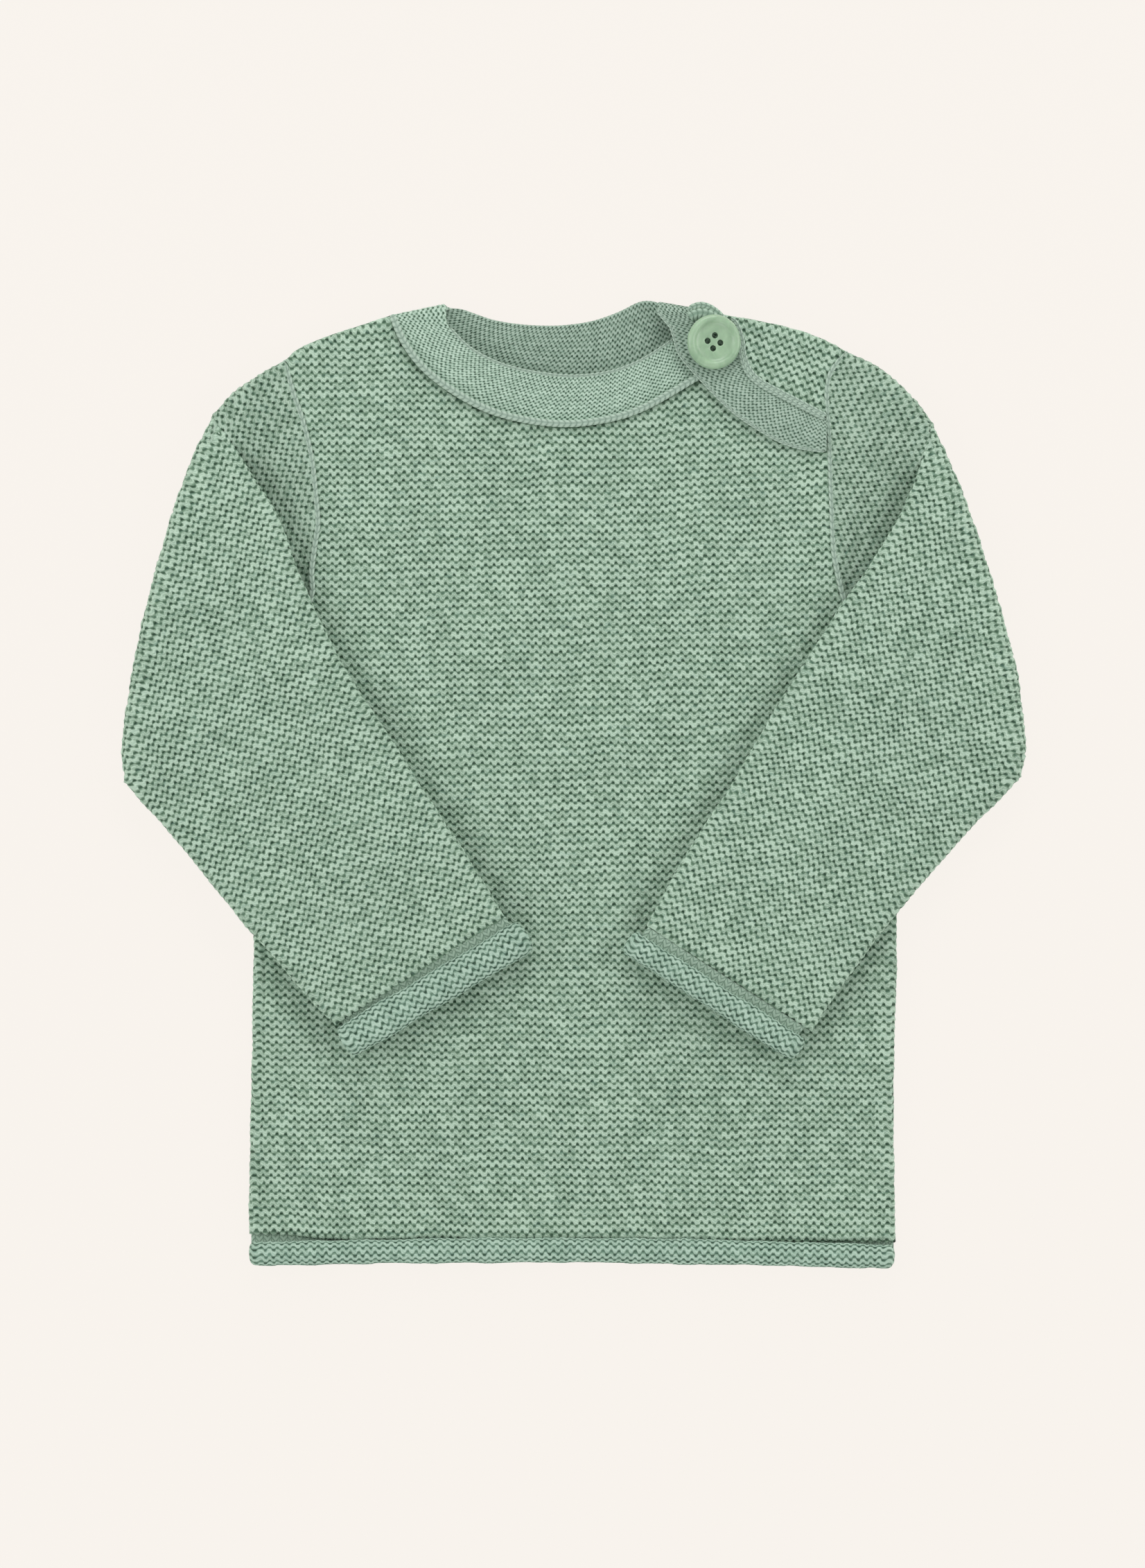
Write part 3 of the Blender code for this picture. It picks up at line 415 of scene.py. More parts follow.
def patch(skin, rims, level, knit, flip=False, mat=0, keep=None, fine=True, clear=0.42,
          bumps=1.0):
    """Fills the loop of rims with a knit lattice lying at level(q)."""
    line = np.vstack([r.line[:-1] for r in rims])
    z = np.concatenate([r.z[:-1] for r in rims])
    n = len(line)
    low, high = line.min(0) - 1, line.max(0) + 1
    q, quv = knit.points(low, high, fine)
    box = ((q > low) & (q < high)).all(1)
    q, quv = q[box], quv[box]
    if keep is not None:
        ok = keep(q, quv)
        q, quv = q[ok], quv[ok]
    q_in = inside(line, q)
    q, quv = q[q_in], quv[q_in]
    ring = Line(np.vstack([line, line[:1]]))
    gap = ring.near(q)[0]
    ok = gap > (clear if fine else 1.6)
    q, quv, gap = q[ok], quv[ok], gap[ok]
    verts = [Vector(p) for p in np.vstack([line, q])]
    edges = [(i, (i + 1) % n) for i in range(n)]
    got = geometry.delaunay_2d_cdt(verts, edges, [], 1, 1e-6, True)
    flat = np.array([tuple(v) for v in got[0]])
    source = [min(ids) if ids else -1 for ids in got[3]]
    # Heights: each rim pulls the cloth over towards itself and down or up to it.
    pos = flat.copy()
    lev = level(flat)
    drop = np.zeros(len(flat))
    to_edge = ring.near(flat)[0]
    for rim in rims:
        big = rim.r.max()
        some = np.where(to_edge < big)[0]
        if big <= 0 or not len(some):
            continue
        d, foot, at = Line(rim.line).near(flat[some])
        idx = np.arange(len(rim.line))
        r = np.maximum(np.interp(at, idx, rim.r), 1e-3)
        zb = np.interp(at, idx, rim.z)
        t = np.clip(d / r, 0, 1)
        pull = np.where(d < r, d - r * (1 - np.cos(t * math.pi / 2)), 0.0)
        away = (flat[some] - foot) / np.maximum(d, 1e-6)[:, None]
        pos[some] -= away * pull[:, None]
        down = (lev[some] - zb) * (1 - np.sin(t * math.pi / 2))
        take = np.abs(down) > np.abs(drop[some])
        drop[some[take]] = down[take]
    height = lev - drop
    uv = knit.uv(flat)
    ids = []
    for k, (p, s) in enumerate(zip(pos, source)):
        if 0 <= s < n:
            ids.append(skin.add(np.array([line[s][0], line[s][1], z[s]]), 0.0, True))
        else:
            if s >= n:
                uv[k] = quv[s - n]
            ids.append(skin.add(np.array([p[0], p[1], height[k]]), 0.0))
    h = knit.relief(uv) * bumps * step01(to_edge / 1.2)
    for k, s in enumerate(source):
        if not 0 <= s < n:
            skin.lift[ids[k]] = h[k]
    mids = np.array([flat[list(f)].mean(0) for f in got[2]])
    for f, good in zip(got[2], inside(line, mids)):
        if not good:
            continue
        a, b, c = (flat[i] for i in f)
        turn = (b[0] - a[0]) * (c[1] - a[1]) - (b[1] - a[1]) * (c[0] - a[0])
        f = list(f) if (turn > 0) != flip else list(f)[::-1]
        skin.faces.append(tuple(ids[i] for i in f))
        skin.uv.append([uv[i] for i in f])
        skin.mat.append(mat)


def scalloped(line, knit, side, amount=0.3):
    """An outline with the small bump of each ridge along it."""
    v = knit.uv(line)[:, 1]
    bump = amount * (np.abs(np.sin(math.pi * v)) - 0.5) + 0.15 * waves(line[:, 0], line[:, 1], 14, 5)
    fade = step01(np.minimum(np.arange(len(line)), np.arange(len(line))[::-1]) / 6)
    return line + normals(line) * (side * bump * fade)[:, None]


# ---------------------------------------------------------------- materials
class Val:
    """A number that varies over the surface: one socket of a node tree."""

    def __init__(self, g, socket):
        self.g, self.s = g, socket

    def __add__(self, o):
        return self.g.math("ADD", self, o)

    def __radd__(self, o):
        return self.g.math("ADD", o, self)

    def __sub__(self, o):
        return self.g.math("SUBTRACT", self, o)

    def __rsub__(self, o):
        return self.g.math("SUBTRACT", o, self)

    def __mul__(self, o):
        return self.g.math("MULTIPLY", self, o)

    def __rmul__(self, o):
        return self.g.math("MULTIPLY", o, self)

    def __truediv__(self, o):
        return self.g.math("DIVIDE", self, o)


class Graph:
    def __init__(self, name):
        self.mat = bpy.data.materials.new(name)
        self.mat.use_nodes = True
        self.nt = self.mat.node_tree
        self.bsdf = self.nt.nodes["Principled BSDF"]
        uv = self.nt.nodes.new("ShaderNodeUVMap")
        uv.uv_map = "knit"
        self.uv = uv.outputs["UV"]
        split = self.nt.nodes.new("ShaderNodeSeparateXYZ")
        self.nt.links.new(self.uv, split.inputs[0])
        self.u, self.v = Val(self, split.outputs[0]), Val(self, split.outputs[1])

    def math(self, op, *args, clamp=False):
        node = self.nt.nodes.new("ShaderNodeMath")
        node.operation, node.use_clamp = op, clamp
        for i, a in enumerate(args):
            if isinstance(a, Val):
                self.nt.links.new(a.s, node.inputs[i])
            else:
                node.inputs[i].default_value = float(a)
        return Val(self, node.outputs[0])

    def span(self, x, a, b, c=0.0, d=1.0):
        """x from a..b to c..d, clamped and eased."""
        node = self.nt.nodes.new("ShaderNodeMapRange")
        node.interpolation_type = "SMOOTHSTEP"
        self.nt.links.new(x.s, node.inputs[0])
        for i, val in zip((1, 2, 3, 4), (a, b, c, d)):
            node.inputs[i].default_value = val
        return Val(self, node.outputs[0])

    def vector(self, x, y, z=0.0):
        node = self.nt.nodes.new("ShaderNodeCombineXYZ")
        for i, a in enumerate((x, y, z)):
            if isinstance(a, Val):
                self.nt.links.new(a.s, node.inputs[i])
            else:
                node.inputs[i].default_value = float(a)
        return node.outputs[0]

    def noise(self, vec, scale, detail=2.0, rough=0.5):
        node = self.nt.nodes.new("ShaderNodeTexNoise")
        node.noise_dimensions = "3D"
        self.nt.links.new(vec, node.inputs["Vector"])
        node.inputs["Scale"].default_value = scale
        node.inputs["Detail"].default_value = detail
        node.inputs["Roughness"].default_value = rough
        return Val(self, node.outputs[0])

    def cell(self, x, y, seed):
        node = self.nt.nodes.new("ShaderNodeTexWhiteNoise")
        node.noise_dimensions = "3D"
        vec = self.vector(self.math("FLOOR", x), self.math("FLOOR", y), seed)
        self.nt.links.new(vec, node.inputs["Vector"])
        return Val(self, node.outputs["Value"])

    def object_coords(self):
        return self.nt.nodes.new("ShaderNodeTexCoord").outputs["Object"]

    def ramp(self, x, stops):
        node = self.nt.nodes.new("ShaderNodeValToRGB")
        node.color_ramp.interpolation = "LINEAR"
        el = node.color_ramp.elements
        while len(el) < len(stops):
            el.new(0.5)
        for e, (at, rgb) in zip(el, stops):
            e.position = at
            e.color = (*lin(rgb), 1.0)
        self.nt.links.new(x.s, node.inputs[0])
        return node.outputs[0]

    def scale_colour(self, colour, x):
        node = self.nt.nodes.new("ShaderNodeVectorMath")
        node.operation = "SCALE"
        self.nt.links.new(colour, node.inputs[0])
        self.nt.links.new(x.s, node.inputs["Scale"])
        return node.outputs[0]

    def mix(self, fac, a, b):
        node = self.nt.nodes.new("ShaderNodeMix")
        node.data_type = "RGBA"
        self.nt.links.new(fac.s, node.inputs[0])
        for i, c in ((6, a), (7, b)):
            if isinstance(c, tuple):
                node.inputs[i].default_value = (*lin(c), 1.0)
            else:
                self.nt.links.new(c, node.inputs[i])
        return node.outputs[2]

    def bump(self, height, distance_mm, strength=1.0):
        node = self.nt.nodes.new("ShaderNodeBump")
        node.inputs["Strength"].default_value = strength
        node.inputs["Distance"].default_value = distance_mm * 0.001
        self.nt.links.new(height.s, node.inputs["Height"])
        self.nt.links.new(node.outputs[0], self.bsdf.inputs["Normal"])


def tinted(tones, k):
    return tuple(tuple(c * k for c in rgb) for rgb in tones)


def lin(rgb):
    return tuple(c / 255 / 12.92 if c / 255 <= 0.04045 else ((c / 255 + 0.055) / 1.055) ** 2.4
                 for c in rgb)


# Tones of the knit's colour ramp, darkest first: the two dark ones are painted shade for the holes and the
# lines between ridges, the third is the yarn's own colour, and the lightest is painted highlight on the crests.
HOLE_SHADE, SHADE, MID, LIGHT = (43, 71, 53), (81, 111, 89), (128, 157, 133), (195, 220, 199)


def wool(g, sheen=0.25):
    b = g.bsdf
    b.inputs["Roughness"].default_value = 0.92
    b.inputs["Specular IOR Level"].default_value = 0.15
    b.inputs["Sheen Weight"].default_value = sheen
    b.inputs["Sheen Roughness"].default_value = 0.55
    b.inputs["Sheen Tint"].default_value = (0.72, 0.86, 0.74, 1.0)


def knit_material(name, amp, half, ratio, contrast=1.0, bump_mm=0.55, seed=1.0,
                  tones=(HOLE_SHADE, SHADE, MID, LIGHT), plies=2.6, low=None):
    """Wool knit: each ridge is one yarn in a wave, with painted highlight on its
    crests and painted shade in the holes between its loops and along the line
    under it. Cloth below the height low is painted darker, as shade on the
    inside of the garment."""
    g = Graph(name)
    u, v = g.u, g.v
    stray = g.noise(g.vector(u * 0.9, v * 0.9, seed + 11), 1.0, 1.0, 0.5) - 0.5
    stray2 = g.noise(g.vector(u * 1.3, v * 1.1, seed + 23), 1.0, 1.0, 0.5) - 0.5
    u = u + stray * 0.34
    arg = u * (2 * math.pi)
    c = g.math("COSINE", arg)
    wave = c * (1.5 - c * c * 0.5)
    w = v - wave * (stray2 * 0.12 + amp) + stray2 * 0.22
    rnd = g.cell(u + 0.25, w, seed)
    rnd2 = g.cell(u + 0.75, w + 0.5, seed + 5)
    slope = g.math("SINE", arg) * (1.5 - c * c * 1.5) * (amp * 2 * math.pi * ratio)
    stretch = g.math("SQRT", slope * slope * 0.35 + 1.0)
    side = (g.math("FRACT", w) - 0.5) / stretch / half
    t = 1.0 - side * side
    h = g.span(t, -HOLE, 1.0)
    h = 1.0 - (1.0 - h) * (wave * wave * 0.12 + wave * 0.1 + 0.7) * (rnd2 * 0.5 + 0.75)
    fuzz = g.noise(g.vector(u * 2.2, v * 3.4, seed), 3.1, 3.0, 0.6)
    streak = g.noise(g.vector(u * 1.3, v * 5.0, seed + 3), 1.7, 2.0, 0.55)
    ply = g.math("COSINE", side * (math.pi * plies) + u * (4 * math.pi) + rnd * 3.0
                 + (fuzz - 0.5) * 4.0)
    top = g.span(t, -0.1, 0.7)
    # The yarn's height, with its plies on the crests. It drives the bump, and through the ramp below it also
    # paints the colour: painted shade where the yarn falls into holes, and painted highlight on the crests.
    body = h * 0.88 + (ply * 0.5 + 0.5) * top * 0.12
    tone = body + (fuzz - 0.5) * 0.34 * contrast + (rnd - 0.5) * 0.14
    colour = g.ramp(g.math("ADD", tone, 0.0, clamp=True),
                    [(0.0, tones[0]), (0.35, tones[1]), (0.74, tones[2]), (1.0, tones[3])])
    wide = g.noise(g.object_coords(), 38.0, 3.0, 0.55)
    shade = (wide - 0.5) * 0.16 + (streak - 0.5) * 0.22 + 1.0
    # Painted shade: cloth below the height low, the inside of the garment, is darkened to about three quarters
    # of its colour.
    if low is not None:
        split = g.nt.nodes.new("ShaderNodeSeparateXYZ")
        g.nt.links.new(g.object_coords(), split.inputs[0])
        shade = shade * g.span(Val(g, split.outputs[2]), low - 0.001, low + 0.001, 0.76, 1.0)
    colour = g.scale_colour(colour, shade)
    pale = g.span(streak, 0.58, 0.8, 0.0, 0.4)
    colour = g.mix(pale, colour, (184, 202, 178))
    cool = g.noise(g.vector(u * 0.8, v * 2.6, seed + 17), 1.3, 2.0, 0.6)
    colour = g.mix(g.span(cool, 0.5, 0.8, 0.0, 0.35), colour, (128, 166, 152))
    g.nt.links.new(colour, g.bsdf.inputs["Base Color"])
    g.bump(body + fuzz * 0.22, bump_mm)
    wool(g)
    return g.mat


def chain_material(name, seed=4.0, columns=False, pale=0.0):
    """Slanting loops that meet in a groove: along a cord, or in columns.
    Their colour has painted shade in the groove and between the loops.
    """
    g = Graph(name)
    u, v = g.u, g.v            # u counts loops, v is -1..1 round the cord
    if columns:
        u, v = v, (g.math("FRACT", u) - 0.5) * 2.0
    av = g.math("ABSOLUTE", v)
    ph = g.math("FRACT", u + av * 0.9)
    e = (ph - 0.5) * 2.0
    loop = g.math("SQRT", g.math("MAXIMUM", 1.0 - e * e, 0.0))
    groove = g.span(av, 0.0, 0.16, 0.35, 1.0)
    fuzz = g.noise(g.vector(u * 2.0, v * 4.0, seed), 4.0, 3.0, 0.6)
    # Painted shade: the colour follows the loops' relief, darker in the groove and where one loop meets the
    # next.
    tone = loop * groove + (fuzz - 0.5) * 0.35
    colour = g.ramp(g.math("ADD", tone, 0.0, clamp=True),
                    [(at, tuple(x + pale * (236 - x) for x in rgb)) for at, rgb in
                     ((0.0, (104, 131, 112)), (0.35, (140, 167, 148)), (0.8, (166, 192, 172)),
                      (1.0, (182, 206, 187)))])
    g.nt.links.new(colour, g.bsdf.inputs["Base Color"])
    g.bump(loop * groove + fuzz * 0.3, 0.2 if columns else 0.35)
    wool(g, 0.3)
    return g.mat


def button_material():
    """Satin moulded button, slightly milky, with faint swirls."""
    mat = bpy.data.materials.new("button_green")
    mat.use_nodes = True
    nt = mat.node_tree
    b = nt.nodes["Principled BSDF"]
    tex = nt.nodes.new("ShaderNodeTexCoord")
    swirl = nt.nodes.new("ShaderNodeTexNoise")
    swirl.inputs["Scale"].default_value = 160.0
    swirl.inputs["Detail"].default_value = 3.0
    swirl.inputs["Distortion"].default_value = 1.6
    nt.links.new(tex.outputs["Object"], swirl.inputs["Vector"])
    ramp = nt.nodes.new("ShaderNodeValToRGB")
    ramp.color_ramp.elements[0].position = 0.3
    ramp.color_ramp.elements[0].color = (*lin((150, 181, 149)), 1)
    ramp.color_ramp.elements[1].position = 0.7
    ramp.color_ramp.elements[1].color = (*lin((168, 198, 165)), 1)
    nt.links.new(swirl.outputs[0], ramp.inputs[0])
    nt.links.new(ramp.outputs[0], b.inputs["Base Color"])
    fine = nt.nodes.new("ShaderNodeTexNoise")
    fine.inputs["Scale"].default_value = 1400.0
    nt.links.new(tex.outputs["Object"], fine.inputs["Vector"])
    rough = nt.nodes.new("ShaderNodeMapRange")
    rough.inputs[3].default_value = 0.28
    rough.inputs[4].default_value = 0.42
    nt.links.new(fine.outputs[0], rough.inputs[0])
    nt.links.new(rough.outputs[0], b.inputs["Roughness"])
    bump = nt.nodes.new("ShaderNodeBump")
    bump.inputs["Strength"].default_value = 0.25
    bump.inputs["Distance"].default_value = 0.00003
    nt.links.new(fine.outputs[0], bump.inputs["Height"])
    nt.links.new(bump.outputs[0], b.inputs["Normal"])
    b.inputs["Subsurface Weight"].default_value = 0.25
    b.inputs["Subsurface Radius"].default_value = (0.6, 1.0, 0.6)
    b.inputs["Subsurface Scale"].default_value = 0.0012
    b.inputs["Coat Weight"].default_value = 0.35
    b.inputs["Coat Roughness"].default_value = 0.22
    return mat


# Each knit's ramp runs from painted shade in its holes to painted highlight on its crests.
GARTER = knit_material("garter_knit", 0.19, 0.37, RIDGE / WALE, seed=1.0)
GARTER_SLEEVE = knit_material("garter_knit_sleeve", 0.19, 0.37, RIDGE / WALE, seed=7.0)
# The sleeves' part beside the body, under the turned-over part, is the same yarn with its tones painted 5%
# darker as shade.
GARTER_UNDER_SHADED = knit_material("garter_knit_under_shaded", 0.19, 0.37, 1.2, seed=8.0,
                             tones=tinted((HOLE_SHADE, SHADE, MID, LIGHT), 0.95))
FINE_TONES = (58, 84, 67), (106, 134, 114), (153, 180, 160), (198, 222, 204)
# The band's inside back half, lying below 3.8 mm, gets painted shade.
FINE = knit_material("fine_knit", 0.22, 0.34, FINE_COURSE / FINE_WALE, 1.0, 0.3, 3.0,
                     FINE_TONES, 1.6, low=0.0038)
FLAP_FINE = knit_material("fine_knit_flap", 0.22, 0.34, FINE_COURSE / FINE_WALE, 1.0, 0.3, 13.0,
                          tinted(FINE_TONES, 0.89), 1.6)
ROLL = knit_material("rolled_knit", 0.23, 0.35, 1.78 / 2.92, 1.0, 0.4, 9.0,
                     ((48, 74, 59), (91, 121, 102), (140, 170, 150), (188, 214, 196)), 1.8)
CHAIN = chain_material("linked_chain")
CHAIN_PALE = chain_material("linked_chain_pale", 4.0, False, 0.16)
PLAIN = chain_material("plain_knit", 6.0, True)
BUTTON = button_material()


# --------------------------------------------------------------------- body
def body_bend(x, y):
    """Rows that rise to the wearer's left above the waist, and lean a little."""
    up = step01((y + 110) / 110)
    dy = 0.035 * x * up + 0.045 * np.maximum(x - 30, 0) * step01((y - 40) / 90)
    dx = -0.02 * (y + 40)
    return np.stack([dx, dy], axis=-1)


BODY = Knit((1, 0), (0, 1), WALE, RIDGE, (0.0, -1.2), 1, body_bend)


def over_polygon(side):
    s = SLEEVES[side]
    return np.vstack([dense(s["fold"], 4), dense(s["over_low"], 4)[1:],
                      dense(s["over_top"], 4)[::-1][:-1]])


def hidden(q, inset=9.0):
    """Points of the front that a folded sleeve covers."""
    out = np.zeros(len(q), bool)
    for side in SLEEVES:
        poly = over_polygon(side)
        some = np.where(inside(poly, q))[0]
        if len(some):
            d = Line(np.vstack([poly, poly[:1]])).near(q[some])[0]
            out[some[d > inset]] = True
    return out


def thin_hidden(q, uv):
    rough = (np.abs(uv[:, 0] % 2) < 0.1) & (np.abs(uv[:, 1] % 2 - 0.25) < 0.1)
    return ~hidden(q) | rough


def moved(line, amount):
    return line + normals(line) * amount


def join(*lines):
    """Lines end to end, each starting exactly where the last one ended."""
    out = []
    for a in lines:
        a = a.copy()
        if out:
            a[0] = out[-1][-1]
        out.append(a)
    out[-1][-1] = out[0][0]
    return out


def hem_edge():
    """The last ridge's loops hang a little below the hem line."""
    line = dense(HEM_TOP, 0.45)
    u = BODY.uv(line)[:, 0]
    line[1:-1, 1] -= 0.34 * np.cos(2 * math.pi * u[1:-1])
    return line


def front_piece():
    skin = Skin()
    side_l = scalloped(dense(SIDE_LEFT), BODY, -1)
    side_r = scalloped(dense(SIDE_RIGHT[::-1]), BODY, -1)
    arm_l = dense(ARM_LEFT)
    arm_l = moved(arm_l[arm_l[:, 1] < 123.6], 0.06)
    arm_r = moved(dense(ARM_RIGHT[::-1]), 0.06)
    lines = join(hem_edge(), side_l, arm_l, dense(UNDERLAP[::-1]),
                 moved(dense(NECK_FRONT[::-1]), 0.4), dense(SHOULDER_RIGHT[::-1]), arm_r, side_r)
    zs = (4.6, 3.35, 4.9, 4.4, 4.3, 3.35, 4.9, 3.35)
    rs = (1.6, 3.1, 1.5, 1.6, 1.9, 3.1, 1.5, 3.1)
    ends = []
    for i, (line, z) in enumerate(zip(lines, zs)):
        z = np.full(len(line), z)
        z[0] = (zs[i] + zs[i - 1]) / 2
        z[-1] = (zs[i] + zs[(i + 1) % len(zs)]) / 2
        ends.append(z)
    top = [Rim(a, z, r) for a, z, r in zip(lines, ends, rs)]

    edges = [Line(np.vstack([dense(SLEEVES[k]["over_top"]), dense(SLEEVES[k]["over_low"])[::-1]]))
             for k in SLEEVES]
    seam = Line(smooth([(-110.8, -40.0), (-111.4, -75.0), (-112.4, -120.0), (-113.4, -161.0)]))

    def level(q):
        x, y = q[:, 0], q[:, 1]
        z = FRONT_TOP - 0.25 + 0.22 * waves(x, y, 70, 11) + 0.1 * waves(x, y, 22, 12)
        # It dips beside the folded sleeves, where their weight presses it.
        for edge in edges:
            z = z - 1.0 * np.exp(-(edge.near(q)[0] / 7.5) ** 2)
        # A soft groove where the side seam has been drawn to the front.
        d = seam.near(q)[0]
        return z - 1.0 * np.exp(-(d / 0.9) ** 2) + 0.3 * np.exp(-((d - 2.2) / 1.2) ** 2)

    patch(skin, top, level, BODY, keep=thin_hidden)
    patch(skin, [r.with_r(1.5) for r in top], lambda q: np.full(len(q), FRONT_LOW), BODY,
          flip=True, fine=False, bumps=0.0)
    return skin.make("front_knit", [GARTER])


def back_piece():
    skin = Skin()
    side_l = scalloped(dense(SIDE_LEFT), BODY, -1)
    side_r = scalloped(dense(SIDE_RIGHT[::-1]), BODY, -1)
    arm_l, arm_r = moved(dense(ARM_LEFT), -0.8), moved(dense(ARM_RIGHT[::-1]), -0.8)
    shoulder = scalloped(dense(SHOULDER_LEFT[::-1]), BODY, -1, 0.2)
    lines = join(hem_edge(), side_l, arm_l, shoulder, dense(NECK_BACK[::-1]),
                 dense(SHOULDER_RIGHT[::-1]), arm_r, side_r)
    zs = (1.4, 3.05, 1.9, SIDE_Z, 1.4, 3.05, 1.9, 3.05)
    rs = (1.4, 2.9, 1.8, 3.1, 1.4, 2.9, 1.8, 2.9)
    ends = []
    for i, (line, z) in enumerate(zip(lines, zs)):
        z = np.full(len(line), z)
        z[0] = (zs[i] + zs[i - 1]) / 2
        z[-1] = (zs[i] + zs[(i + 1) % len(zs)]) / 2
        ends.append(z)
    rims = [Rim(a, z, r) for a, z, r in zip(lines, ends, rs)]
    coarse = lambda q, uv: (np.abs(uv[:, 0] * 4 % 2) < 0.1)
    patch(skin, rims, lambda q: np.full(len(q), 0.25), BODY, flip=True, bumps=0.8, keep=coarse)
    # The shoulder turns over: the yoke on the front and the crease inside.
    s = rims[3]
    n = len(s.line)
    t = np.sin(np.linspace(0, math.pi, n)) ** 0.5
    crease_line = s.line + normals(s.line) * (2.6 * t)[:, None]
    crease_z = s.z.copy()
    crease = Rim(crease_line, crease_z, 0.6)
    inner = list(rims)
    inner[3] = crease
    patch(skin, [r.with_r(0.8) for r in inner], lambda q: np.full(len(q), 2.55), BODY,
          fine=False, bumps=0.0)
    arm = dense([p for p in ARM_LEFT if p[1] > 131])[::-1]
    arm = moved(arm[arm[:, 1] > 132.2], -0.06)
    placket = dense(PLACKET)[::-1]
    arm[0], arm[-1] = s.line[0], (91.0, 132.0)
    placket[0], placket[-1] = arm[-1], s.line[-1]
    arm_z, placket_z = np.full(len(arm), 4.9), np.full(len(placket), 4.6)
    arm_z[0], placket_z[-1] = s.z[0], s.z[-1]
    yoke = [s.back(), Rim(arm, arm_z, 1.7), Rim(placket, placket_z, 1.4)]
    slope = math.radians(-20)
    knit = Knit((math.cos(slope), math.sin(slope)), (-math.sin(slope), math.cos(slope)),
                WALE, RIDGE, (60, 160), 2)
    loop = [s.back().with_r(3.2), Rim(arm[::1], arm_z, 1.5), Rim(placket, placket_z, 1.4)]
    # s.back() runs from the neck to the shoulder point, then down the armhole.
    patch(skin, loop, lambda q: np.full(len(q), FRONT_TOP) + 0.15 * waves(q[:, 0], q[:, 1], 25, 8),
          knit, flip=False)
    patch(skin, [crease.back(), Rim(arm, arm_z, 0.8), Rim(placket, placket_z, 0.8)],
          lambda q: np.full(len(q), 3.9), knit, flip=True, fine=False, bumps=0.0)
    return skin.make("back_knit", [GARTER])


# ------------------------------------------------------------------ sleeves
def sag(q, gap):
    armpit, elbow = np.array(gap[0]), np.array(gap[1])
    side = np.sign(elbow[0] - armpit[0])
    beside = side * (q[:, 0] - armpit[0])
    edge = (elbow - armpit) / np.linalg.norm(elbow - armpit)
    below = -side * (edge[0] * (q[:, 1] - armpit[1]) - edge[1] * (q[:, 0] - armpit[0]))
    return SAG * step01(np.minimum(np.minimum(beside, below), 24.0) / 24.0)


def along(line):
    return np.concatenate([[0], np.cumsum(np.linalg.norm(np.diff(line, axis=0), axis=1))])


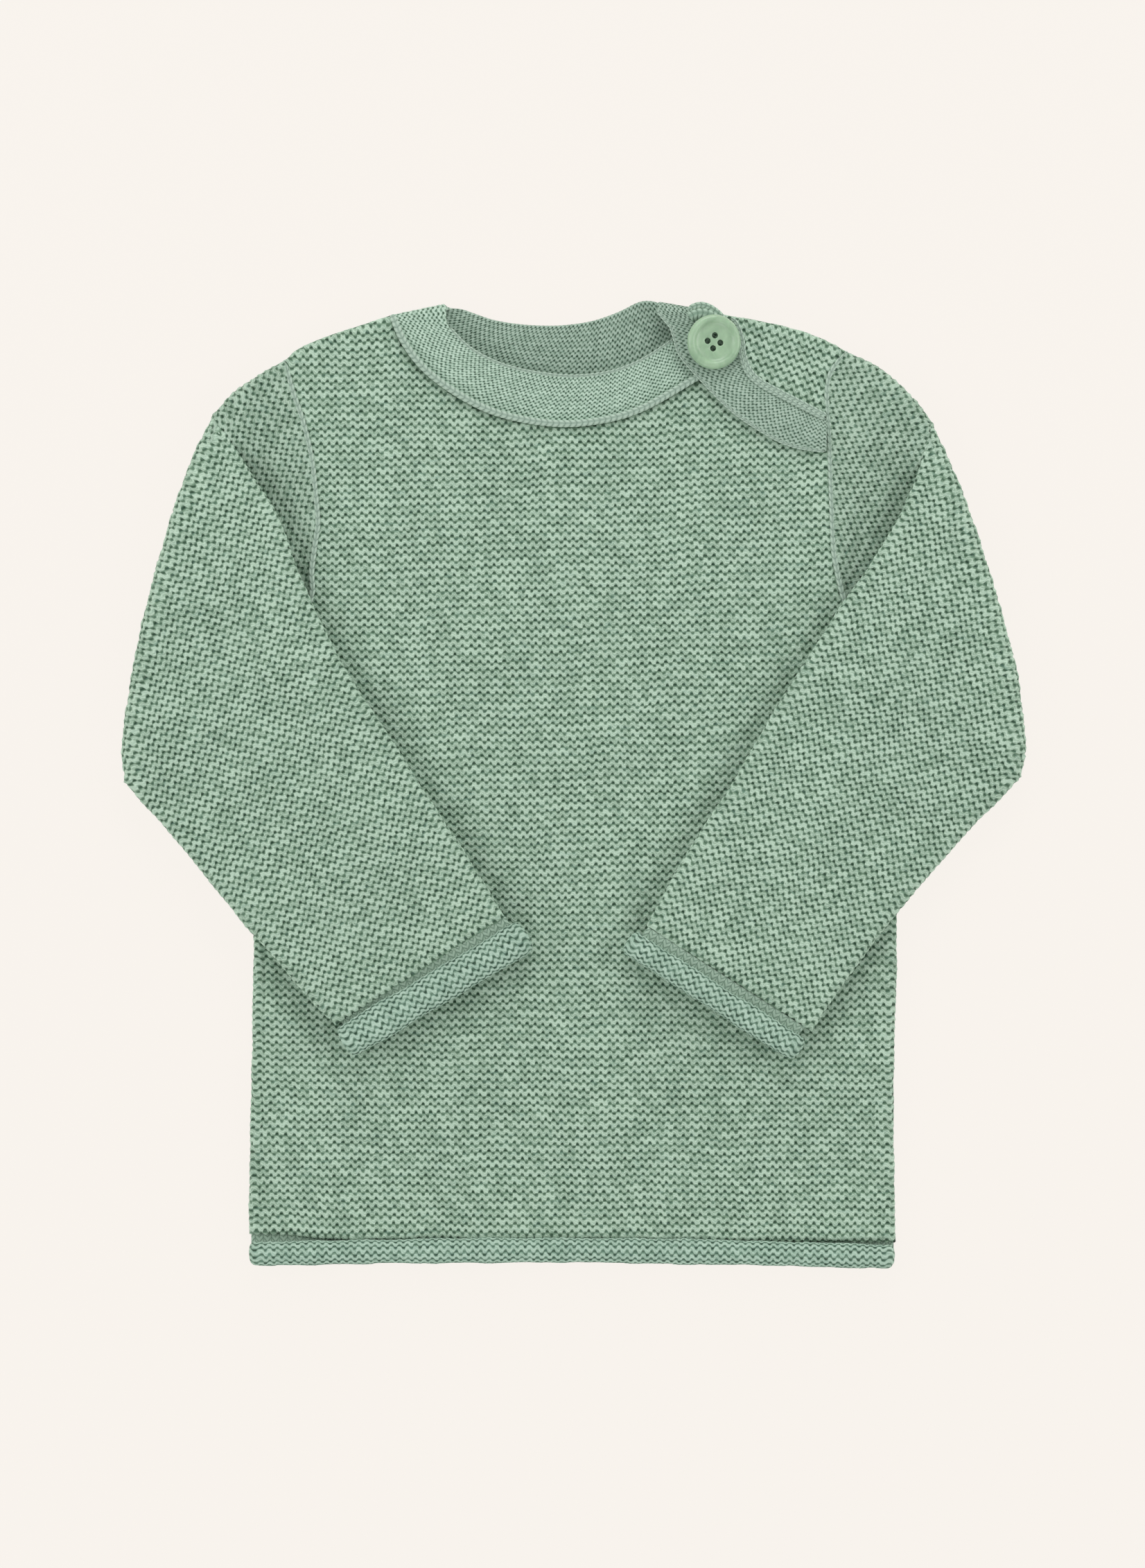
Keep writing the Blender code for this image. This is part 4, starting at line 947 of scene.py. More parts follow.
def sleeve_piece(side):
    s = SLEEVES[side]
    sign = -1 if side == "right" else 1
    axis, near = np.array(s["axis"]), np.array(s["near"])
    seed = 3 if side == "right" else 4
    over = Knit((-axis[1] * -sign, axis[0] * -sign), -axis, WALE * 0.98, RIDGE,
                s["over_top"][3], seed)
    # Rows run on across the fold, so the part next to the body has them mirrored in it.
    under = Knit((-near[1], near[0]), -near, *s["pitch"], s["arm"][6], seed + 4)
    over.a = over.a / np.linalg.norm(over.a)
    under.a = under.a / np.linalg.norm(under.a)
    cuff_u, cuff_t = np.array(s["over_low"][-1]), np.array(s["over_top"][-1])
    cuff_mid = (cuff_u + cuff_t) / 2

    def lift(q):
        back = -((q - cuff_mid) @ axis)
        return 1.2 * step01(1 - np.maximum(back, 0) / 34.0)

    fold = dense(s["fold"])
    run_t, run_u = dense(s["over_top"]), dense(s["over_low"])
    low_t, low_u = dense(s["under_top"]), dense(s["under_low"])
    fold = scalloped(fold, over, sign, 0.35)
    run_u = scalloped(run_u, over, sign, 0.35)
    run_t = scalloped(run_t, over, -sign, 0.35)
    low_t = scalloped(low_t, under, -sign, 0.35)
    for line in (run_t, low_t):
        line[0] = fold[0]
    for line in (run_u, low_u):
        line[0] = fold[-1]
    cuff = dense([run_u[-1], (run_u[-1] + run_t[-1]) / 2, run_t[-1]])
    cuff[0], cuff[-1] = run_u[-1], run_t[-1]
    arm = moved(dense(s["arm"]), -0.06 * -sign)
    arm[0], arm[-1] = low_u[-1], low_t[-1]

    corner = fold[0].copy()

    def swell(q):
        """1 at the fold's corner at the shoulder, where it starts softly."""
        return 1 - step01((np.linalg.norm(q - corner, axis=1) - 9.0) / 21.0)

    def over_z(line):
        z = OVER_MID + lift(line) - sag(line, s["gap"])
        return FOLD_R + (z - FOLD_R) * step01(along(line) / 16.0)

    def under_z(line):
        return FOLD_R + (SIDE_Z - FOLD_R) * step01(along(line) / 22.0)

    z_t, z_u = over_z(run_t), over_z(run_u)
    run = along(run_t)
    rise = np.sin(math.pi / 2 * np.clip(0.87 * run / FOLD_R, 0, 1))
    flush = FOLD_R + (OVER_TOP - 2.3 - FOLD_R) * rise
    opened = step01((run - 13.0) / 17.0)
    z_t = flush + (z_t - flush) * opened
    soft = 0.6 + 2.6 * opened
    z_lt, z_lu = under_z(low_t), under_z(low_u)
    r_fold = Rim(fold, FOLD_R, FOLD_R)
    r_t = Rim(run_t, z_t, soft)
    r_u = Rim(run_u, z_u, 3.2)
    z_cuff = np.interp(np.linspace(0, 1, len(cuff)), [0, 1], [z_u[-1], z_t[-1]])
    r_cuff = Rim(cuff, z_cuff, 2.4)
    r_lt = Rim(low_t, z_lt, 3.2 + 3.0 * (1 - step01(along(low_t) / 26.0)))
    r_lu = Rim(low_u, z_lu, 3.0)
    z_arm = np.full(len(arm), 5.8)
    z_arm[0], z_arm[-1] = z_lu[-1], z_lt[-1]
    r_arm = Rim(arm, z_arm, 1.2)
    t = np.sin(np.linspace(0, math.pi, len(fold))) ** 0.6
    inward = normals(fold) * -sign
    crease = fold + inward * (6.4 * t)[:, None]
    crease[0], crease[-1] = fold[0], fold[-1]
    r_crease = Rim(crease, FOLD_R, 0.4)

    arm_line, turned = Line(arm), Line(run_t)

    def rough(x, y, seed_):
        return 0.32 * waves(x, y, 46, seed_) + 0.12 * waves(x, y, 18, seed_ + 1)

    def over_level(q):
        return (OVER_TOP - 0.2 + lift(q) - sag(q, s["gap"]) - 1.9 * swell(q)
                + rough(q[:, 0], q[:, 1], seed * 7))

    def over_floor(q):
        return OVER_LOW + lift(q) * 0.8 - sag(q, s["gap"]) * 0.95

    def under_level(q):
        z = FRONT_TOP + 4.6 * swell(q) + 0.8 * rough(q[:, 0], q[:, 1], seed * 9)
        z = z + 0.4 * np.exp(-((arm_line.near(q)[0] - 1.7) / 1.0) ** 2)
        d, _, at = turned.near(q)
        z = z - 2.2 * np.exp(-(d / 8.0) ** 2) * np.interp(at, np.arange(len(opened)), opened)
        if side == "left":
            # soft crease down the shoulder cap, between seam and fold
            line = Line(smooth([(106.5, 140), (108.0, 118), (106.0, 98), (101, 82)]))
            d = line.near(q)[0]
            z = z - 0.9 * np.exp(-(d / 3.2) ** 2)
        return z

    # Facing: a loop that runs clockwise in plan is still filled by its inside.
    skin = Skin()
    p1 = [r_fold, r_u, r_cuff, r_t.back()]
    p2 = [r_crease, r_u, r_cuff, r_t.back()]
    p3 = [r_crease, r_lu, r_arm, r_lt.back()]
    p4 = [r_fold, r_lu, r_arm, r_lt.back()]
    patch(skin, p1, over_level, over)
    patch(skin, [r.with_r(1.6) for r in p2], over_floor, over, flip=True, fine=False, bumps=0.0)

    hide_poly = over_polygon(side)

    def show_near(q, uv):
        """Fine stitches only where the turned-over part doesn't cover them."""
        rough_ = (np.abs(uv[:, 0] % 2) < 0.1) & (np.abs(uv[:, 1] % 2 - 0.25) < 0.1)
        ins = inside(hide_poly, q)
        out = ~ins
        some = np.where(ins)[0]
        if len(some):
            d = Line(np.vstack([hide_poly, hide_poly[:1]])).near(q[some])[0]
            out[some] = d < 8
        return out | rough_

    patch(skin, p3, under_level, under, keep=show_near, mat=1)

    fold_line = Line(fold)

    def by_fold(q, uv):
        rough_ = (np.abs(uv[:, 0] % 2) < 0.1) & (np.abs(uv[:, 1] % 2 - 0.25) < 0.1)
        return (fold_line.near(q)[0] < 9) | rough_

    patch(skin, p4, lambda q: np.full(len(q), 0.25), under, flip=True, keep=by_fold, mat=1)
    # The tube's inner face, with the fold left out.
    for one, two, top, low in ((run_t, run_u, lambda q: over_level(q) - 2.7,
                                lambda q: over_floor(q) + 2.5),
                               (low_t, low_u, lambda q: np.full(len(q), 3.75),
                                lambda q: np.full(len(q), 2.6))):
        one, two = spaced(one, 60), spaced(two, 60)
        loop = np.vstack([(one + (two - one) * 0.1)[5:57], (two + (one - two) * 0.1)[5:57][::-1]])
        loop = np.vstack([loop, loop[:1]])
        z = (top(loop) + low(loop)) / 2
        z[-1] = z[0]
        ring = [Rim(loop, z, 0.5)]
        patch(skin, ring, top, over, flip=True, fine=False, bumps=0.0)
        patch(skin, ring, low, over, flip=False, fine=False, bumps=0.0)
    # The raised edge of the armhole seam.
    edge = arm[::-1][:int(len(arm) * 0.9)]
    z = 6.0 - 2.7 * np.exp(-along(edge) / 2.5)
    chain_cord(skin, np.column_stack([moved(edge, 0.25 * sign), z]), 0.98, 2.6, mat=2, tall=0.25)
    return skin.make("sleeve_%s_knit" % side, [GARTER_SLEEVE, GARTER_UNDER_SHADED, CHAIN_PALE])


# ------------------------------------------------------------ bands and flap
def strip_piece(skin, a, b, thick, course=FINE_COURSE, wale=FINE_WALE, seed=5, amp=0.22,
                half=0.34, height=0.36, mat=0, edge_r=1.2, flare=None):
    """Doubled band between the lines a and b, relief on both of its faces."""
    a, b = np.array(a, float), np.array(b, float)
    n = len(a)
    mid = (a + b) / 2
    run = along(mid)
    width = np.linalg.norm(b - a, axis=1)
    m = int(round(width.max() / (course / 4)))
    tan = np.gradient(mid, axis=0)
    cross = (b - a) / width[:, None]
    nor = np.cross(tan, cross)
    nor /= np.maximum(np.linalg.norm(nor, axis=1), 1e-9)[:, None]
    t = np.linspace(0, 1, m + 1)
    rows = []
    uvs = []
    lifts = []
    e = np.minimum(t, 1 - t)[None, :] * width[:, None]
    h = thick / 2 * np.sqrt(np.clip(1 - (1 - np.minimum(e / edge_r, 1)) ** 2, 0, 1))
    if flare is not None:
        h = h * flare(t)[None, :]
    u = run[:, None] / wale + 0 * t[None, :]
    v = t[None, :] * width[:, None] / course
    v = t[None, :] * (np.median(width) / course) + 0 * u
    cell = hashed(np.floor(u + 0.25), np.floor(v), seed)
    rel = height * (yarn(u, v, amp, half, course / wale) * (0.8 + 0.4 * cell) - 0.5)
    rel *= step01(e / 0.8)
    base = a[:, None, :] + (b - a)[:, None, :] * t[None, :, None]
    up = base + nor[:, None, :] * h[:, :, None]
    dn = base - nor[:, None, :] * h[:, :, None]
    pts = np.concatenate([up, dn[:, ::-1][:, 1:-1]], axis=1)
    lift = np.concatenate([rel, rel[:, ::-1][:, 1:-1]], axis=1)
    v_all = np.concatenate([v, v[:, ::-1][:, 1:-1], v[:, :1]], axis=1)
    u_all = np.concatenate([u, u[:, ::-1][:, 1:-1], u[:, :1]], axis=1)
    uv = np.stack([u_all, v_all], axis=-1)
    first = len(skin.faces)
    k = skin.grid(pts, uv, lift, mat=mat, wrap=True, flip=False)
    cols = pts.shape[1]
    skin.cap([k + j for j in range(cols)][::-1], mat)
    skin.cap([k + (n - 1) * cols + j for j in range(cols)], mat)
    skin.outward(first)
    return nor


def chain_cord(skin, line, radius, pitch=2.0, mat=0, around=14, tall=0.32, up=(0, 0, 1)):
    """Raised linked chain along a 3-D line."""
    line = np.array(line, float)
    total = length(line)
    n = max(8, int(total / 0.34))
    p = spaced(smooth(line, 6), n)
    tan = np.gradient(p, axis=0)
    tan /= np.linalg.norm(tan, axis=1)[:, None]
    side = np.cross(tan, np.array(up, float))
    side /= np.maximum(np.linalg.norm(side, axis=1), 1e-9)[:, None]
    top = np.cross(side, tan)
    ang = np.linspace(-math.pi, math.pi, around, endpoint=False)
    run = along(p)
    ends = step01(np.minimum(run, run[::-1]) / 1.0) ** 0.5
    ends = np.maximum(ends, 0.25)
    u = run[:, None] / pitch + 0 * ang[None, :]
    v = ang[None, :] / math.pi + 0 * u
    ph = u + np.abs(v) * 0.9
    e = (ph - np.floor(ph) - 0.5) * 2
    bump = np.sqrt(np.clip(1 - e * e, 0, 1)) * np.clip(0.35 + np.abs(v) / 0.2, 0, 1)
    r = radius * ends[:, None] * (0.82 + tall * bump)
    pts = (p[:, None, :] + side[:, None, :] * (np.sin(ang)[None, :, None] * r[..., None])
           + top[:, None, :] * (np.cos(ang)[None, :, None] * r[..., None]))
    vv = np.concatenate([v, np.ones((len(p), 1))], axis=1)
    uu = np.concatenate([u, u[:, :1]], axis=1)
    first = len(skin.faces)
    k = skin.grid(pts, np.stack([uu, vv], axis=-1), np.zeros(pts.shape[:2]), mat=mat, wrap=True)
    cols = around
    skin.cap([k + j for j in range(cols)][::-1], mat)
    skin.cap([k + (len(p) - 1) * cols + j for j in range(cols)], mat)
    skin.outward(first)


def neckband_piece():
    fine = 0.5
    seam = moved(dense(NECK_FRONT, 0.4), 0.45)
    seam = spaced(seam, 400, (1.6, 0.6))[::-1]
    edge = spaced(dense(BAND_FRONT, 0.4), 400, (0.8, 0.0))[::-1]
    n_front = int(length((seam + edge) / 2) / fine)
    seam, edge = spaced(seam, n_front), spaced(edge, n_front)
    g = np.linspace(0, 1, n_front + 1)
    rise = 0.9 * np.sin(math.pi * (g * 10 + 1) / 12) ** 0.7
    a = [np.column_stack([seam, np.full(len(seam), 5.2)])]
    b = [np.column_stack([edge, 5.2 + rise])]
    fold = np.array([(-65.6, 169.9), (-46.2, 174.0)])
    d = (fold[1] - fold[0]) / np.linalg.norm(fold[1] - fold[0])
    out = np.array([-d[1], d[0]])
    r = (5.2 - 1.2) / 2
    base = fold - out * (r + 1.2)
    phis = np.linspace(0, math.pi, 16)
    for i, store in ((0, a), (1, b)):
        store.append(np.array([(*(base[i] + out * r * math.sin(p)), 1.2 + r + r * math.cos(p))
                               for p in phis]))
    seam = moved(dense(NECK_BACK, 0.4), 0.45)
    seam = spaced(seam, 400, (4.0, 12.5))
    edge = spaced(dense(BAND_BACK, 0.4), 400, (3.0, 0.0))
    n_back = int(length((seam + edge) / 2) / fine)
    a.append(np.column_stack([spaced(seam, n_back), np.full(n_back + 1, 1.2)]))
    b.append(np.column_stack([spaced(edge, n_back), np.full(n_back + 1, 1.2)]))
    a, b = np.vstack(a), np.vstack(b)
    a, b = ease(a), ease(b)
    n = int(length((a + b) / 2) / fine)
    run = along((a + b) / 2)
    at = np.linspace(0, run[-1], n + 1)
    a = np.stack([np.interp(at, run, a[:, i]) for i in range(3)], axis=1)
    b = np.stack([np.interp(at, run, b[:, i]) for i in range(3)], axis=1)
    skin = Skin()
    strip_piece(skin, a, b, 2.3, seed=5)
    # Cast-off chain along the front's inner edge.
    k = int(np.argmax(b[:, 0] < -44.5))
    rim = b[2:k] + np.array([0, 0, 0.55])
    chain_cord(skin, rim, 0.7, 1.9, mat=1, tall=0.18)
    return skin.make("neckband_knit", [FINE, CHAIN_PALE])


def ease(p, times=30):
    """Lightly evens a line's corners, its ends kept."""
    p = p.copy()
    for _ in range(times):
        p[1:-1] = 0.5 * p[1:-1] + 0.25 * (p[:-2] + p[2:])
    return p


def flap_piece():
    fold = np.array([(30.6, 174.2), (43.8, 171.9)])
    d = (fold[1] - fold[0]) / np.linalg.norm(fold[1] - fold[0])
    out = np.array([-d[1], d[0]])
    low_z, top_z = 1.3, 8.8
    r = (top_z - low_z) / 2
    base = fold - out * (r + 1.0)
    rows = []
    for p in np.linspace(0, math.pi, 14):
        z = low_z + r - r * math.cos(p)
        q0, q1 = base[0] + out * r * math.sin(p), base[1] + out * r * math.sin(p)
        rows.append((*q0, z, *q1, z))
    table = [(lx, ly, 5.1 + lz, ux, uy, 5.1 + uz) for lx, ly, lz, ux, uy, uz in FLAP]
    rows = np.array(rows + [tuple(x) for x in smooth(table, 10)])
    a, b = ease(rows[:, :3], 4), ease(rows[:, 3:], 4)
    run = along((a + b) / 2)
    n = int(run[-1] / 0.45)
    at = np.linspace(0, run[-1], n + 1)
    a = np.stack([np.interp(at, run, a[:, i]) for i in range(3)], axis=1)
    b = np.stack([np.interp(at, run, b[:, i]) for i in range(3)], axis=1)
    skin = Skin()
    # The flap bends down to its sewn edge in the outer two thirds.
    m = int(round(np.linalg.norm(b - a, axis=1).max() / (FINE_COURSE / 4)))
    width = np.linalg.norm((b - a)[:, :2], axis=1)
    t = np.linspace(0, 1, m + 1)
    drop = step01(np.maximum(0, (t - 0.35) / 0.65))
    base = a[:, None, :] + (b - a)[:, None, :] * t[None, :, None]
    base[:, :, 2] = a[:, None, 2] + (b - a)[:, None, 2] * drop[None, :]
    tan = np.gradient(base, axis=0)
    cross = np.gradient(base, axis=1)
    nor = np.cross(cross, tan)
    nor /= np.maximum(np.linalg.norm(nor, axis=2), 1e-9)[..., None]
    e = np.minimum(t, 1 - t)[None, :] * width[:, None]
    h = 1.0 * np.sqrt(np.clip(1 - (1 - np.minimum(e / 1.0, 1)) ** 2, 0, 1))
    u = at[:, None] / FINE_WALE + 0 * t[None, :]
    v = t[None, :] * (np.median(width) / FINE_COURSE) + 0 * u
    cell = hashed(np.floor(u + 0.25), np.floor(v), 6)
    rel = 0.36 * (yarn(u, v, 0.22, 0.34, FINE_COURSE / FINE_WALE) * (0.8 + 0.4 * cell) - 0.5)
    rel *= step01(e / 0.8)
    up, dn = base + nor * h[..., None], base - nor * h[..., None]
    pts = np.concatenate([up, dn[:, ::-1][:, 1:-1]], axis=1)
    lift = np.concatenate([rel, rel[:, ::-1][:, 1:-1] * 0.5], axis=1)
    v_all = np.concatenate([v, v[:, ::-1][:, 1:-1], v[:, :1]], axis=1)
    u_all = np.concatenate([u, u[:, ::-1][:, 1:-1], u[:, :1]], axis=1)
    first = len(skin.faces)
    k = skin.grid(pts, np.stack([u_all, v_all], axis=-1), lift, wrap=True)
    cols = pts.shape[1]
    skin.cap([k + j for j in range(cols)][::-1])
    skin.cap([k + n * cols + j for j in range(cols)])
    skin.outward(first)
    rim = a[int(n * 0.12):-1] + np.array([0, 0, 0.45])
    chain_cord(skin, rim, 0.62, 1.8, mat=1, tall=0.18)
    return skin.make("placket_flap_knit", [FLAP_FINE, CHAIN_PALE])


# -------------------------------------------------------------------- rolls
def roll_piece(name, line, width, height, z_low, z_high, seed, rib=None):
    """Rolled edge that runs along the top and back underneath."""
    line = np.array(line, float)
    n_line = max(8, int(length(line) / (WALE / 4)))
    line = spaced(line, n_line)
    r = (z_high - z_low) / 2
    mid = (z_high + z_low) / 2
    tan = np.gradient(line, axis=0)
    tan /= np.linalg.norm(tan, axis=1)[:, None]
    side = np.stack([-tan[:, 1], tan[:, 0]], axis=1)
    frames = [(np.append(p, z_low), np.append(s, 0), np.array((0, 0, -1.0)))
              for p, s in zip(line, side)]
    n_end = 10
    for k in range(1, n_end):
        a = math.pi * k / n_end - math.pi / 2
        n = np.append(tan[-1] * math.cos(a), math.sin(a))
        frames.append((np.append(line[-1], mid) + n * r, np.append(side[-1], 0), n))
    frames += [(np.append(p, z_high), np.append(s, 0), np.array((0, 0, 1.0)))
               for p, s in zip(line[::-1], side[::-1])]
    for k in range(1, n_end):
        a = math.pi / 2 + math.pi * k / n_end
        n = np.append(tan[0] * math.cos(a), math.sin(a))
        frames.append((np.append(line[0], mid) + n * r, np.append(side[0], 0), n))
    m = 32
    ang = np.linspace(0, 2 * math.pi, m, endpoint=False)
    centre = np.array([f[0] for f in frames])
    run = along(np.vstack([centre, centre[:1]]))
    total_wales = round(run[-1] / WALE)
    u = run[:-1] / run[-1] * total_wales
    perim = math.pi * (width + height) / 2
    courses = round(perim / 1.78)
    pts, lifts = [], []
    wob = 1 + 0.05 * waves(run[:-1], 0 * run[:-1], 26, seed) + 0.03 * waves(run[:-1], 0 * run[:-1], 9, seed + 1)
    for i, (c, s, n) in enumerate(frames):
        ca, sa = np.cos(ang), np.sin(ang)
        x = np.sign(ca) * np.abs(ca) ** 0.9 * width / 2
        y = np.sign(sa) * np.abs(sa) ** 0.9 * height / 2
        pts.append(c + s * (x * wob[i])[:, None] + n * y[:, None])
        v = ang / (2 * math.pi) * courses
        cell = hashed(np.floor(u[i] + 0.25) + 0 * v, np.floor(v), seed)
        lifts.append(0.42 * (yarn(u[i], v, 0.23, 0.35, 1.78 / 2.92) * (0.8 + 0.4 * cell) - 0.5))
    pts, lifts = np.array(pts), np.array(lifts)
    uu = np.append(u, total_wales)
    vv = np.linspace(0, courses, m + 1)
    uv = np.stack(np.meshgrid(uu, vv, indexing="ij"), axis=-1)
    skin = Skin()
    skin.grid(pts, uv, lifts, wrap=True, ends=True)
    skin.outward(0)
    if rib is not None:
        for args in rib:
            rib_strip(skin, *args, mat=1)
    obj = skin.make(name, [ROLL, PLAIN])
    return obj


def rib_strip(skin, line, width, z, out, mat=0):
    """Narrow strip of plain V stitches between the last ridge and a roll."""
    line = np.array(line, float)
    n = int(length(line) / 0.7)
    p = spaced(line, n)
    nn = normals(p)
    t = np.linspace(0, 1, 9)
    pts = np.array([[(*(q + s * out * width * (k - 0.5)), zz - 0.8 * math.sin(math.pi * k))
                     for k in t] for q, s, zz in zip(p, nn, np.broadcast_to(z, (len(p),)))])
    low = pts[:, ::-1].copy()
    low[:, :, 2] -= 1.4
    ring = np.concatenate([pts, low], axis=1)
    u = along(p)[:, None] / WALE + 0 * np.zeros((1, 19))
    v = np.concatenate([t, t[::-1], t[:1]])[None, :] * width / 1.9 + 0 * u
    first = len(skin.faces)
    k = skin.grid(ring, np.stack([u, v], axis=-1), np.zeros(ring.shape[:2]), mat=mat, wrap=True)
    cols = ring.shape[1]
    skin.cap([k + j for j in range(cols)][::-1], mat)
    skin.cap([k + n * cols + j for j in range(cols)], mat)
    skin.outward(first)


# ------------------------------------------------------------------- button
def button_piece():
    """Lathe-turned button with four drilled holes."""
    rad, h = 9.8, 3.4
    top = [(0.0, h - 1.35), (4.4, h - 1.32), (6.1, h - 1.2), (6.8, h - 0.82), (7.3, h - 0.3),
           (7.8, h - 0.05), (8.3, h), (8.9, h - 0.12), (9.4, h - 0.55), (9.7, h - 1.1),
           (rad, h - 1.6)]
    low = [(0.0, 0.0), (5.4, 0.0), (6.4, 0.12), (7.4, 0.3), (8.5, 0.62), (9.4, 1.15),
           (9.7, 1.5), (rad, h - 1.6)]
    hole_r, circle, turn = 1.12, 2.35, math.radians(-8)
    seg = 96
    rings = [1.0, 2.2, 3.6, 4.4, 5.2, 6.0, 6.5, 6.9, 7.2, 7.45, 7.65, 7.85, 8.05, 8.3, 8.6,
             8.9, 9.15, 9.4, 9.58, 9.7, 9.77]
    ang = np.linspace(0, 2 * math.pi, seg, endpoint=False)
    outer = np.stack([rad * np.cos(ang), rad * np.sin(ang)], axis=1)
    pts, edges = list(map(tuple, outer)), [(i, (i + 1) % seg) for i in range(seg)]
    holes = []
    for k in range(4):
        a = turn + math.pi / 2 * k
        c = np.array((math.cos(a), math.sin(a))) * circle
        base = len(pts)
        ha = np.linspace(0, 2 * math.pi, 28, endpoint=False)
        pts += [tuple(c + hole_r * np.array((math.cos(x), math.sin(x)))) for x in ha]
        edges += [(base + i, base + (i + 1) % 28) for i in range(28)]
        holes.append((c, base))
    for r in rings:
        count = seg if r > 5.5 else int(8 + r * 12)
        for x in np.linspace(0, 2 * math.pi, count, endpoint=False):
            q = np.array((r * math.cos(x), r * math.sin(x)))
            if all(np.linalg.norm(q - c) > hole_r + 0.25 for c, _ in holes):
                pts.append(tuple(q))
    for c, _ in holes:       # softened mouth of each hole
        for x in np.linspace(0, 2 * math.pi, 28, endpoint=False):
            pts.append(tuple(c + (hole_r + 0.18) * np.array((math.cos(x), math.sin(x)))))
    got = geometry.delaunay_2d_cdt([Vector(p) for p in pts], edges, [], 1, 1e-6, True)
    flat = np.array([tuple(v) for v in got[0]])
    r = np.linalg.norm(flat, axis=1)
    pt, pl = smooth(top, 8), smooth(low, 8)
    z_top, z_low = np.interp(r, pt[:, 0], pt[:, 1]), np.interp(r, pl[:, 0], pl[:, 1])
    on_hole = np.zeros(len(flat), bool)
    for c, _ in holes:
        d = np.linalg.norm(flat - c, axis=1)
        on_hole |= np.abs(d - hole_r) < 1e-3
        z_top = np.where(np.abs(d - hole_r) < 1e-3, z_top - 0.16, z_top)
    skin = Skin()
    rim = r > rad - 1e-3
    up = [skin.add(np.array((x, y, z))) for (x, y), z in zip(flat, z_top)]
    dn = [up[i] if rim[i] else skin.add(np.array((x, y, z)))
          for i, ((x, y), z) in enumerate(zip(flat, z_low))]
    for f in got[2]:
        mid = flat[list(f)].mean(0)
        if any(np.linalg.norm(mid - c) < hole_r * 0.98 for c, _ in holes):
            continue
        a, b, c = (flat[i] for i in f)
        if (b[0] - a[0]) * (c[1] - a[1]) - (b[1] - a[1]) * (c[0] - a[0]) < 0:
            f = list(f)[::-1]
        for ids, face in ((up, list(f)), (dn, list(f)[::-1])):
            skin.faces.append(tuple(ids[i] for i in face))
            skin.uv.append([(0, 0)] * 3)
            skin.mat.append(0)
    where = {}
    for out_i, ids in enumerate(got[3]):
        for s in ids:
            where[s] = out_i
    for _, base in holes:
        for i in range(28):
            a, b = where[base + i], where[base + (i + 1) % 28]
            skin.faces.append((up[a], dn[a], dn[b], up[b])[::-1])
            skin.uv.append([(0, 0)] * 4)
            skin.mat.append(0)
    tx, ty = math.radians(4.0), math.radians(10.0)
    rx = np.array([[1, 0, 0], [0, math.cos(tx), -math.sin(tx)], [0, math.sin(tx), math.cos(tx)]])
    ry = np.array([[math.cos(ty), 0, math.sin(ty)], [0, 1, 0], [-math.sin(ty), 0, math.cos(ty)]])
    place = rx @ ry
    skin.co = [place @ np.array(p) + np.array((50.3, 158.9, 10.3)) for p in skin.co]
    return skin.make("button_turned", [BUTTON], relief=False)


# ---------------------------------------------------------------- the pieces
front = front_piece()
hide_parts("front")
back = back_piece()
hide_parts("back")
sleeves, cuffs = {}, {}
for side in ("right", "left"):
    sleeves[side] = sleeve_piece(side)
    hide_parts("sleeve_" + side)
    x0, y0, x1, y1, width = CUFFS[side]
    mid_z = SIDE_Z + 7.0 + 1.2
    line = np.array([(x0, y0), ((x0 + x1) / 2, (y0 + y1) / 2), (x1, y1)])
    d = (line[2] - line[0]) / np.linalg.norm(line[2] - line[0])
    strip = moved(np.array([line[0] - 0.6 * d, line[2] + 0.6 * d]), width / 2 - 0.2)
    cuffs[side] = roll_piece("cuff_roll_%s_knit" % side, line, width, 4.0, mid_z - 2.15,
                             mid_z + 2.15, 21 if side == "right" else 24,
                             rib=[(strip, 7.5, 13.1, 1)])
    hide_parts("cuff_roll_" + side)
band = neckband_piece()
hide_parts("neckband")
flap = flap_piece()
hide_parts("placket_flap")
strip = smooth([(-116.3, -164.6), (-57, -163.8), (0, -163.5), (57, -164.2), (115.8, -165.4)])
hem = roll_piece("hem_roll_knit", smooth(HEM_LINE, 6), 8.6, 4.2, 2.1, 6.6, 31,
                 rib=[(strip, 6.5, 4.3, 1)])
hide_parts("hem_roll")

skin = Skin()
seam = spaced(dense(NECK_FRONT), 60, (0.3, 2.2))
chain_cord(skin, np.column_stack([seam, 7.3 - 3.4 * np.exp(-along(seam) / 2.6)]), 1.3, 2.1,
           tall=0.2)
neck_chain = skin.make("neck_seam_chain_knit", [CHAIN_PALE])
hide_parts("neck_seam_chain")

skin = Skin()
line = spaced(dense(PLACKET), 60, (3.0, 0.1))
for off in (-0.5, 0.85):
    chain_cord(skin, np.column_stack([moved(line, off), np.full(len(line), 7.05)]), 0.85, 1.9,
               tall=0.2)
edging = skin.make("shoulder_edging_knit", [CHAIN_PALE])
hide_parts("shoulder_edging")

skin = Skin()
chain_cord(skin, [(41.6, 170.4, 9.6), (43.6, 171.7, 9.8), (46.2, 172.2, 9.8), (48.8, 171.5, 9.7),
                  (51.0, 170.2, 9.4), (52.8, 168.7, 9.0), (54.4, 166.9, 8.4)], 1.25, 1.7, tall=0.2)
chain_cord(skin, [(41.6, 168.0, 8.6), (45.0, 169.3, 8.8), (48.6, 169.0, 8.8), (52.0, 167.0, 8.6)],
           2.4, 1.8, around=18, tall=0.16)
loop_end = skin.make("loop_end_knit", [CHAIN])
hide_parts("loop_end")

button = button_piece()
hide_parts("button")


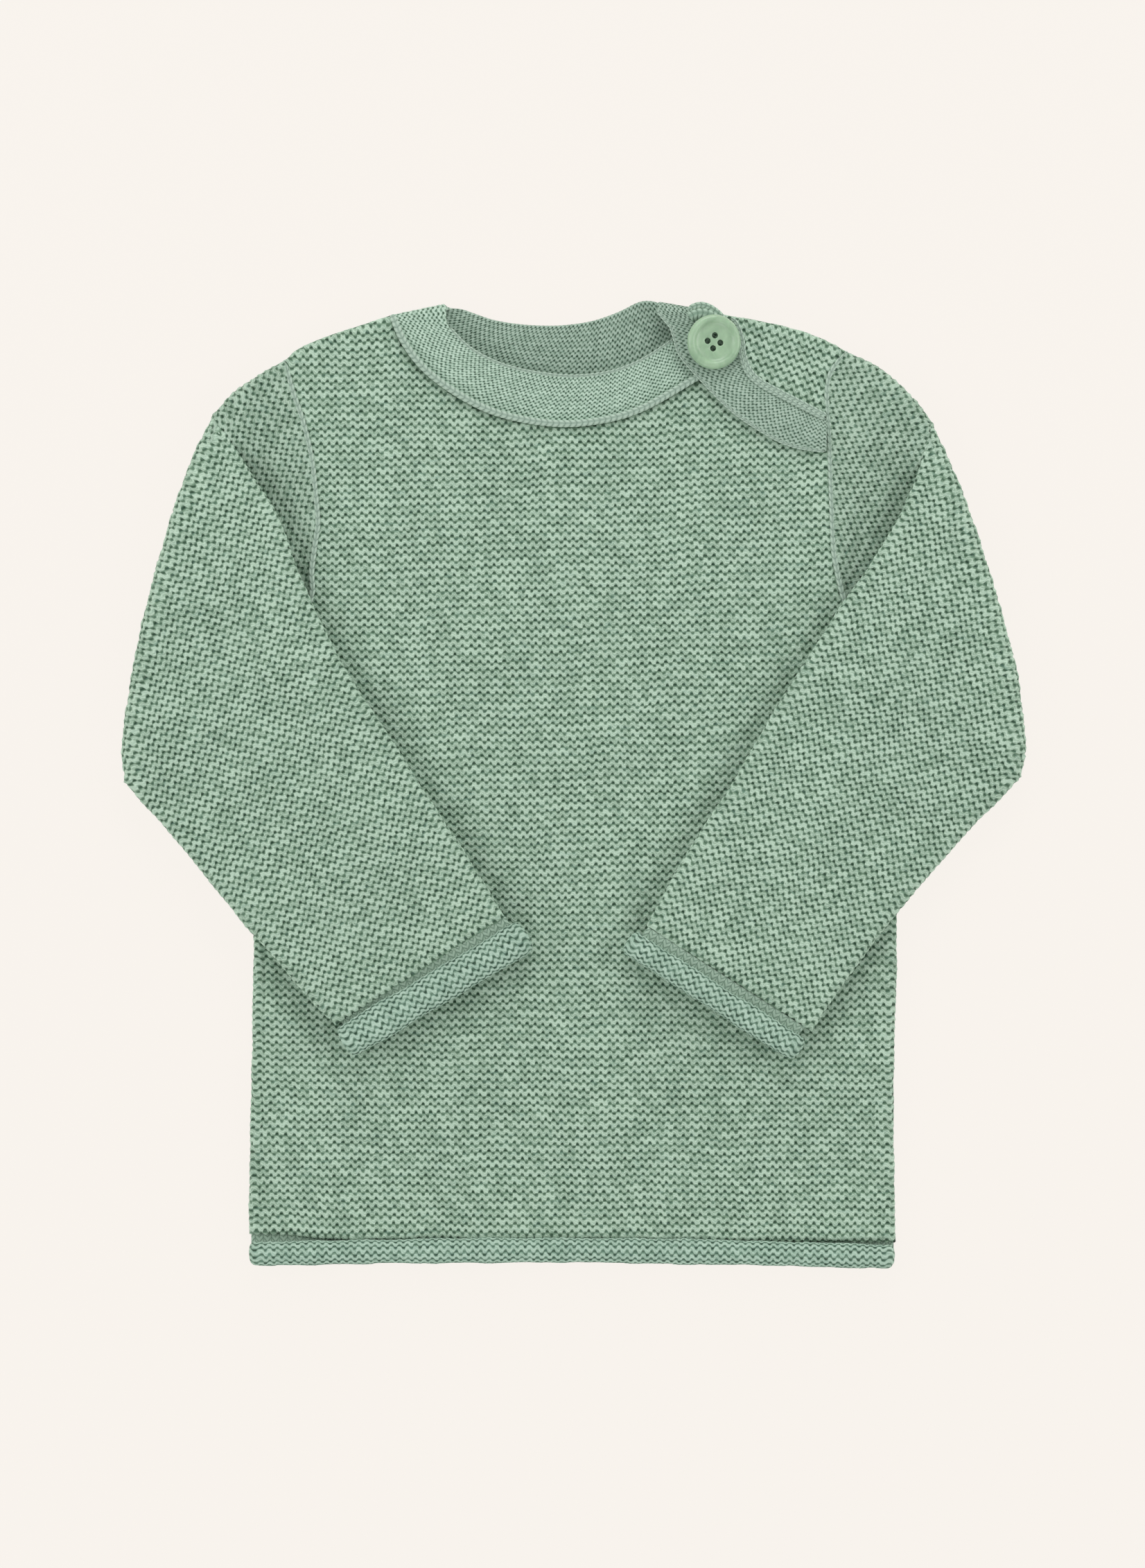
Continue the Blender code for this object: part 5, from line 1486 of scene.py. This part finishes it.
# ------------------------------------------------------- floor, light, camera
def floor():
    mesh = bpy.data.meshes.new("floor")
    mesh.from_pydata([(-4, -4, 0), (4, -4, 0), (4, 4, 0), (-4, 4, 0)], [], [(0, 1, 2, 3)])
    obj = bpy.data.objects.new("floor", mesh)
    bpy.context.scene.collection.objects.link(obj)
    mat = bpy.data.materials.new("pale_floor")
    mat.use_nodes = True
    nt = mat.node_tree
    b = nt.nodes["Principled BSDF"]
    b.inputs["Base Color"].default_value = (*lin((62, 60, 58)), 1)
    b.inputs["Roughness"].default_value = 1.0
    b.inputs["Specular IOR Level"].default_value = 0.0
    b.inputs["Emission Color"].default_value = (*lin((248, 243, 237)), 1)
    b.inputs["Emission Strength"].default_value = 0.953
    mesh.materials.append(mat)


floor()


def area_light(name, at, size, power, target=(0, 0, 0)):
    data = bpy.data.lights.new(name, "AREA")
    data.shape = "SQUARE"
    data.size, data.energy = size, power
    obj = bpy.data.objects.new(name, data)
    bpy.context.scene.collection.objects.link(obj)
    obj.location = at
    obj.rotation_euler = (Vector(target) - Vector(at)).to_track_quat("-Z", "Y").to_euler()


area_light("key", (-0.45, 0.6, 1.5), 1.2, 3.0)
for name, x, y, power in (("left", -1.1, 0.1, 4.6), ("right", 1.1, 0.1, 4.6),
                          ("top", 0.1, 1.15, 6.0), ("bottom", -0.1, -1.15, 4.2)):
    area_light(name, (x, y, 0.62), 0.8, power)

world = bpy.data.worlds.new("studio")
world.use_nodes = True
world.node_tree.nodes["Background"].inputs[0].default_value = (1, 1, 1, 1)
world.node_tree.nodes["Background"].inputs[1].default_value = 0.38
bpy.context.scene.world = world
bpy.context.scene.view_settings.view_transform = "Standard"

camera = bpy.data.cameras.new("camera")
camera.lens, camera.sensor_width, camera.sensor_fit = 100.0, 36.0, "AUTO"
camera.clip_start, camera.clip_end = 0.05, 20.0
cam = bpy.data.objects.new("camera", camera)
bpy.context.scene.collection.objects.link(cam)
cam.location = (-0.00036, 0.0003, 1.5708 + 0.0065)
cam.rotation_euler = (0.0, 0.0, 0.0)
bpy.context.scene.camera = cam

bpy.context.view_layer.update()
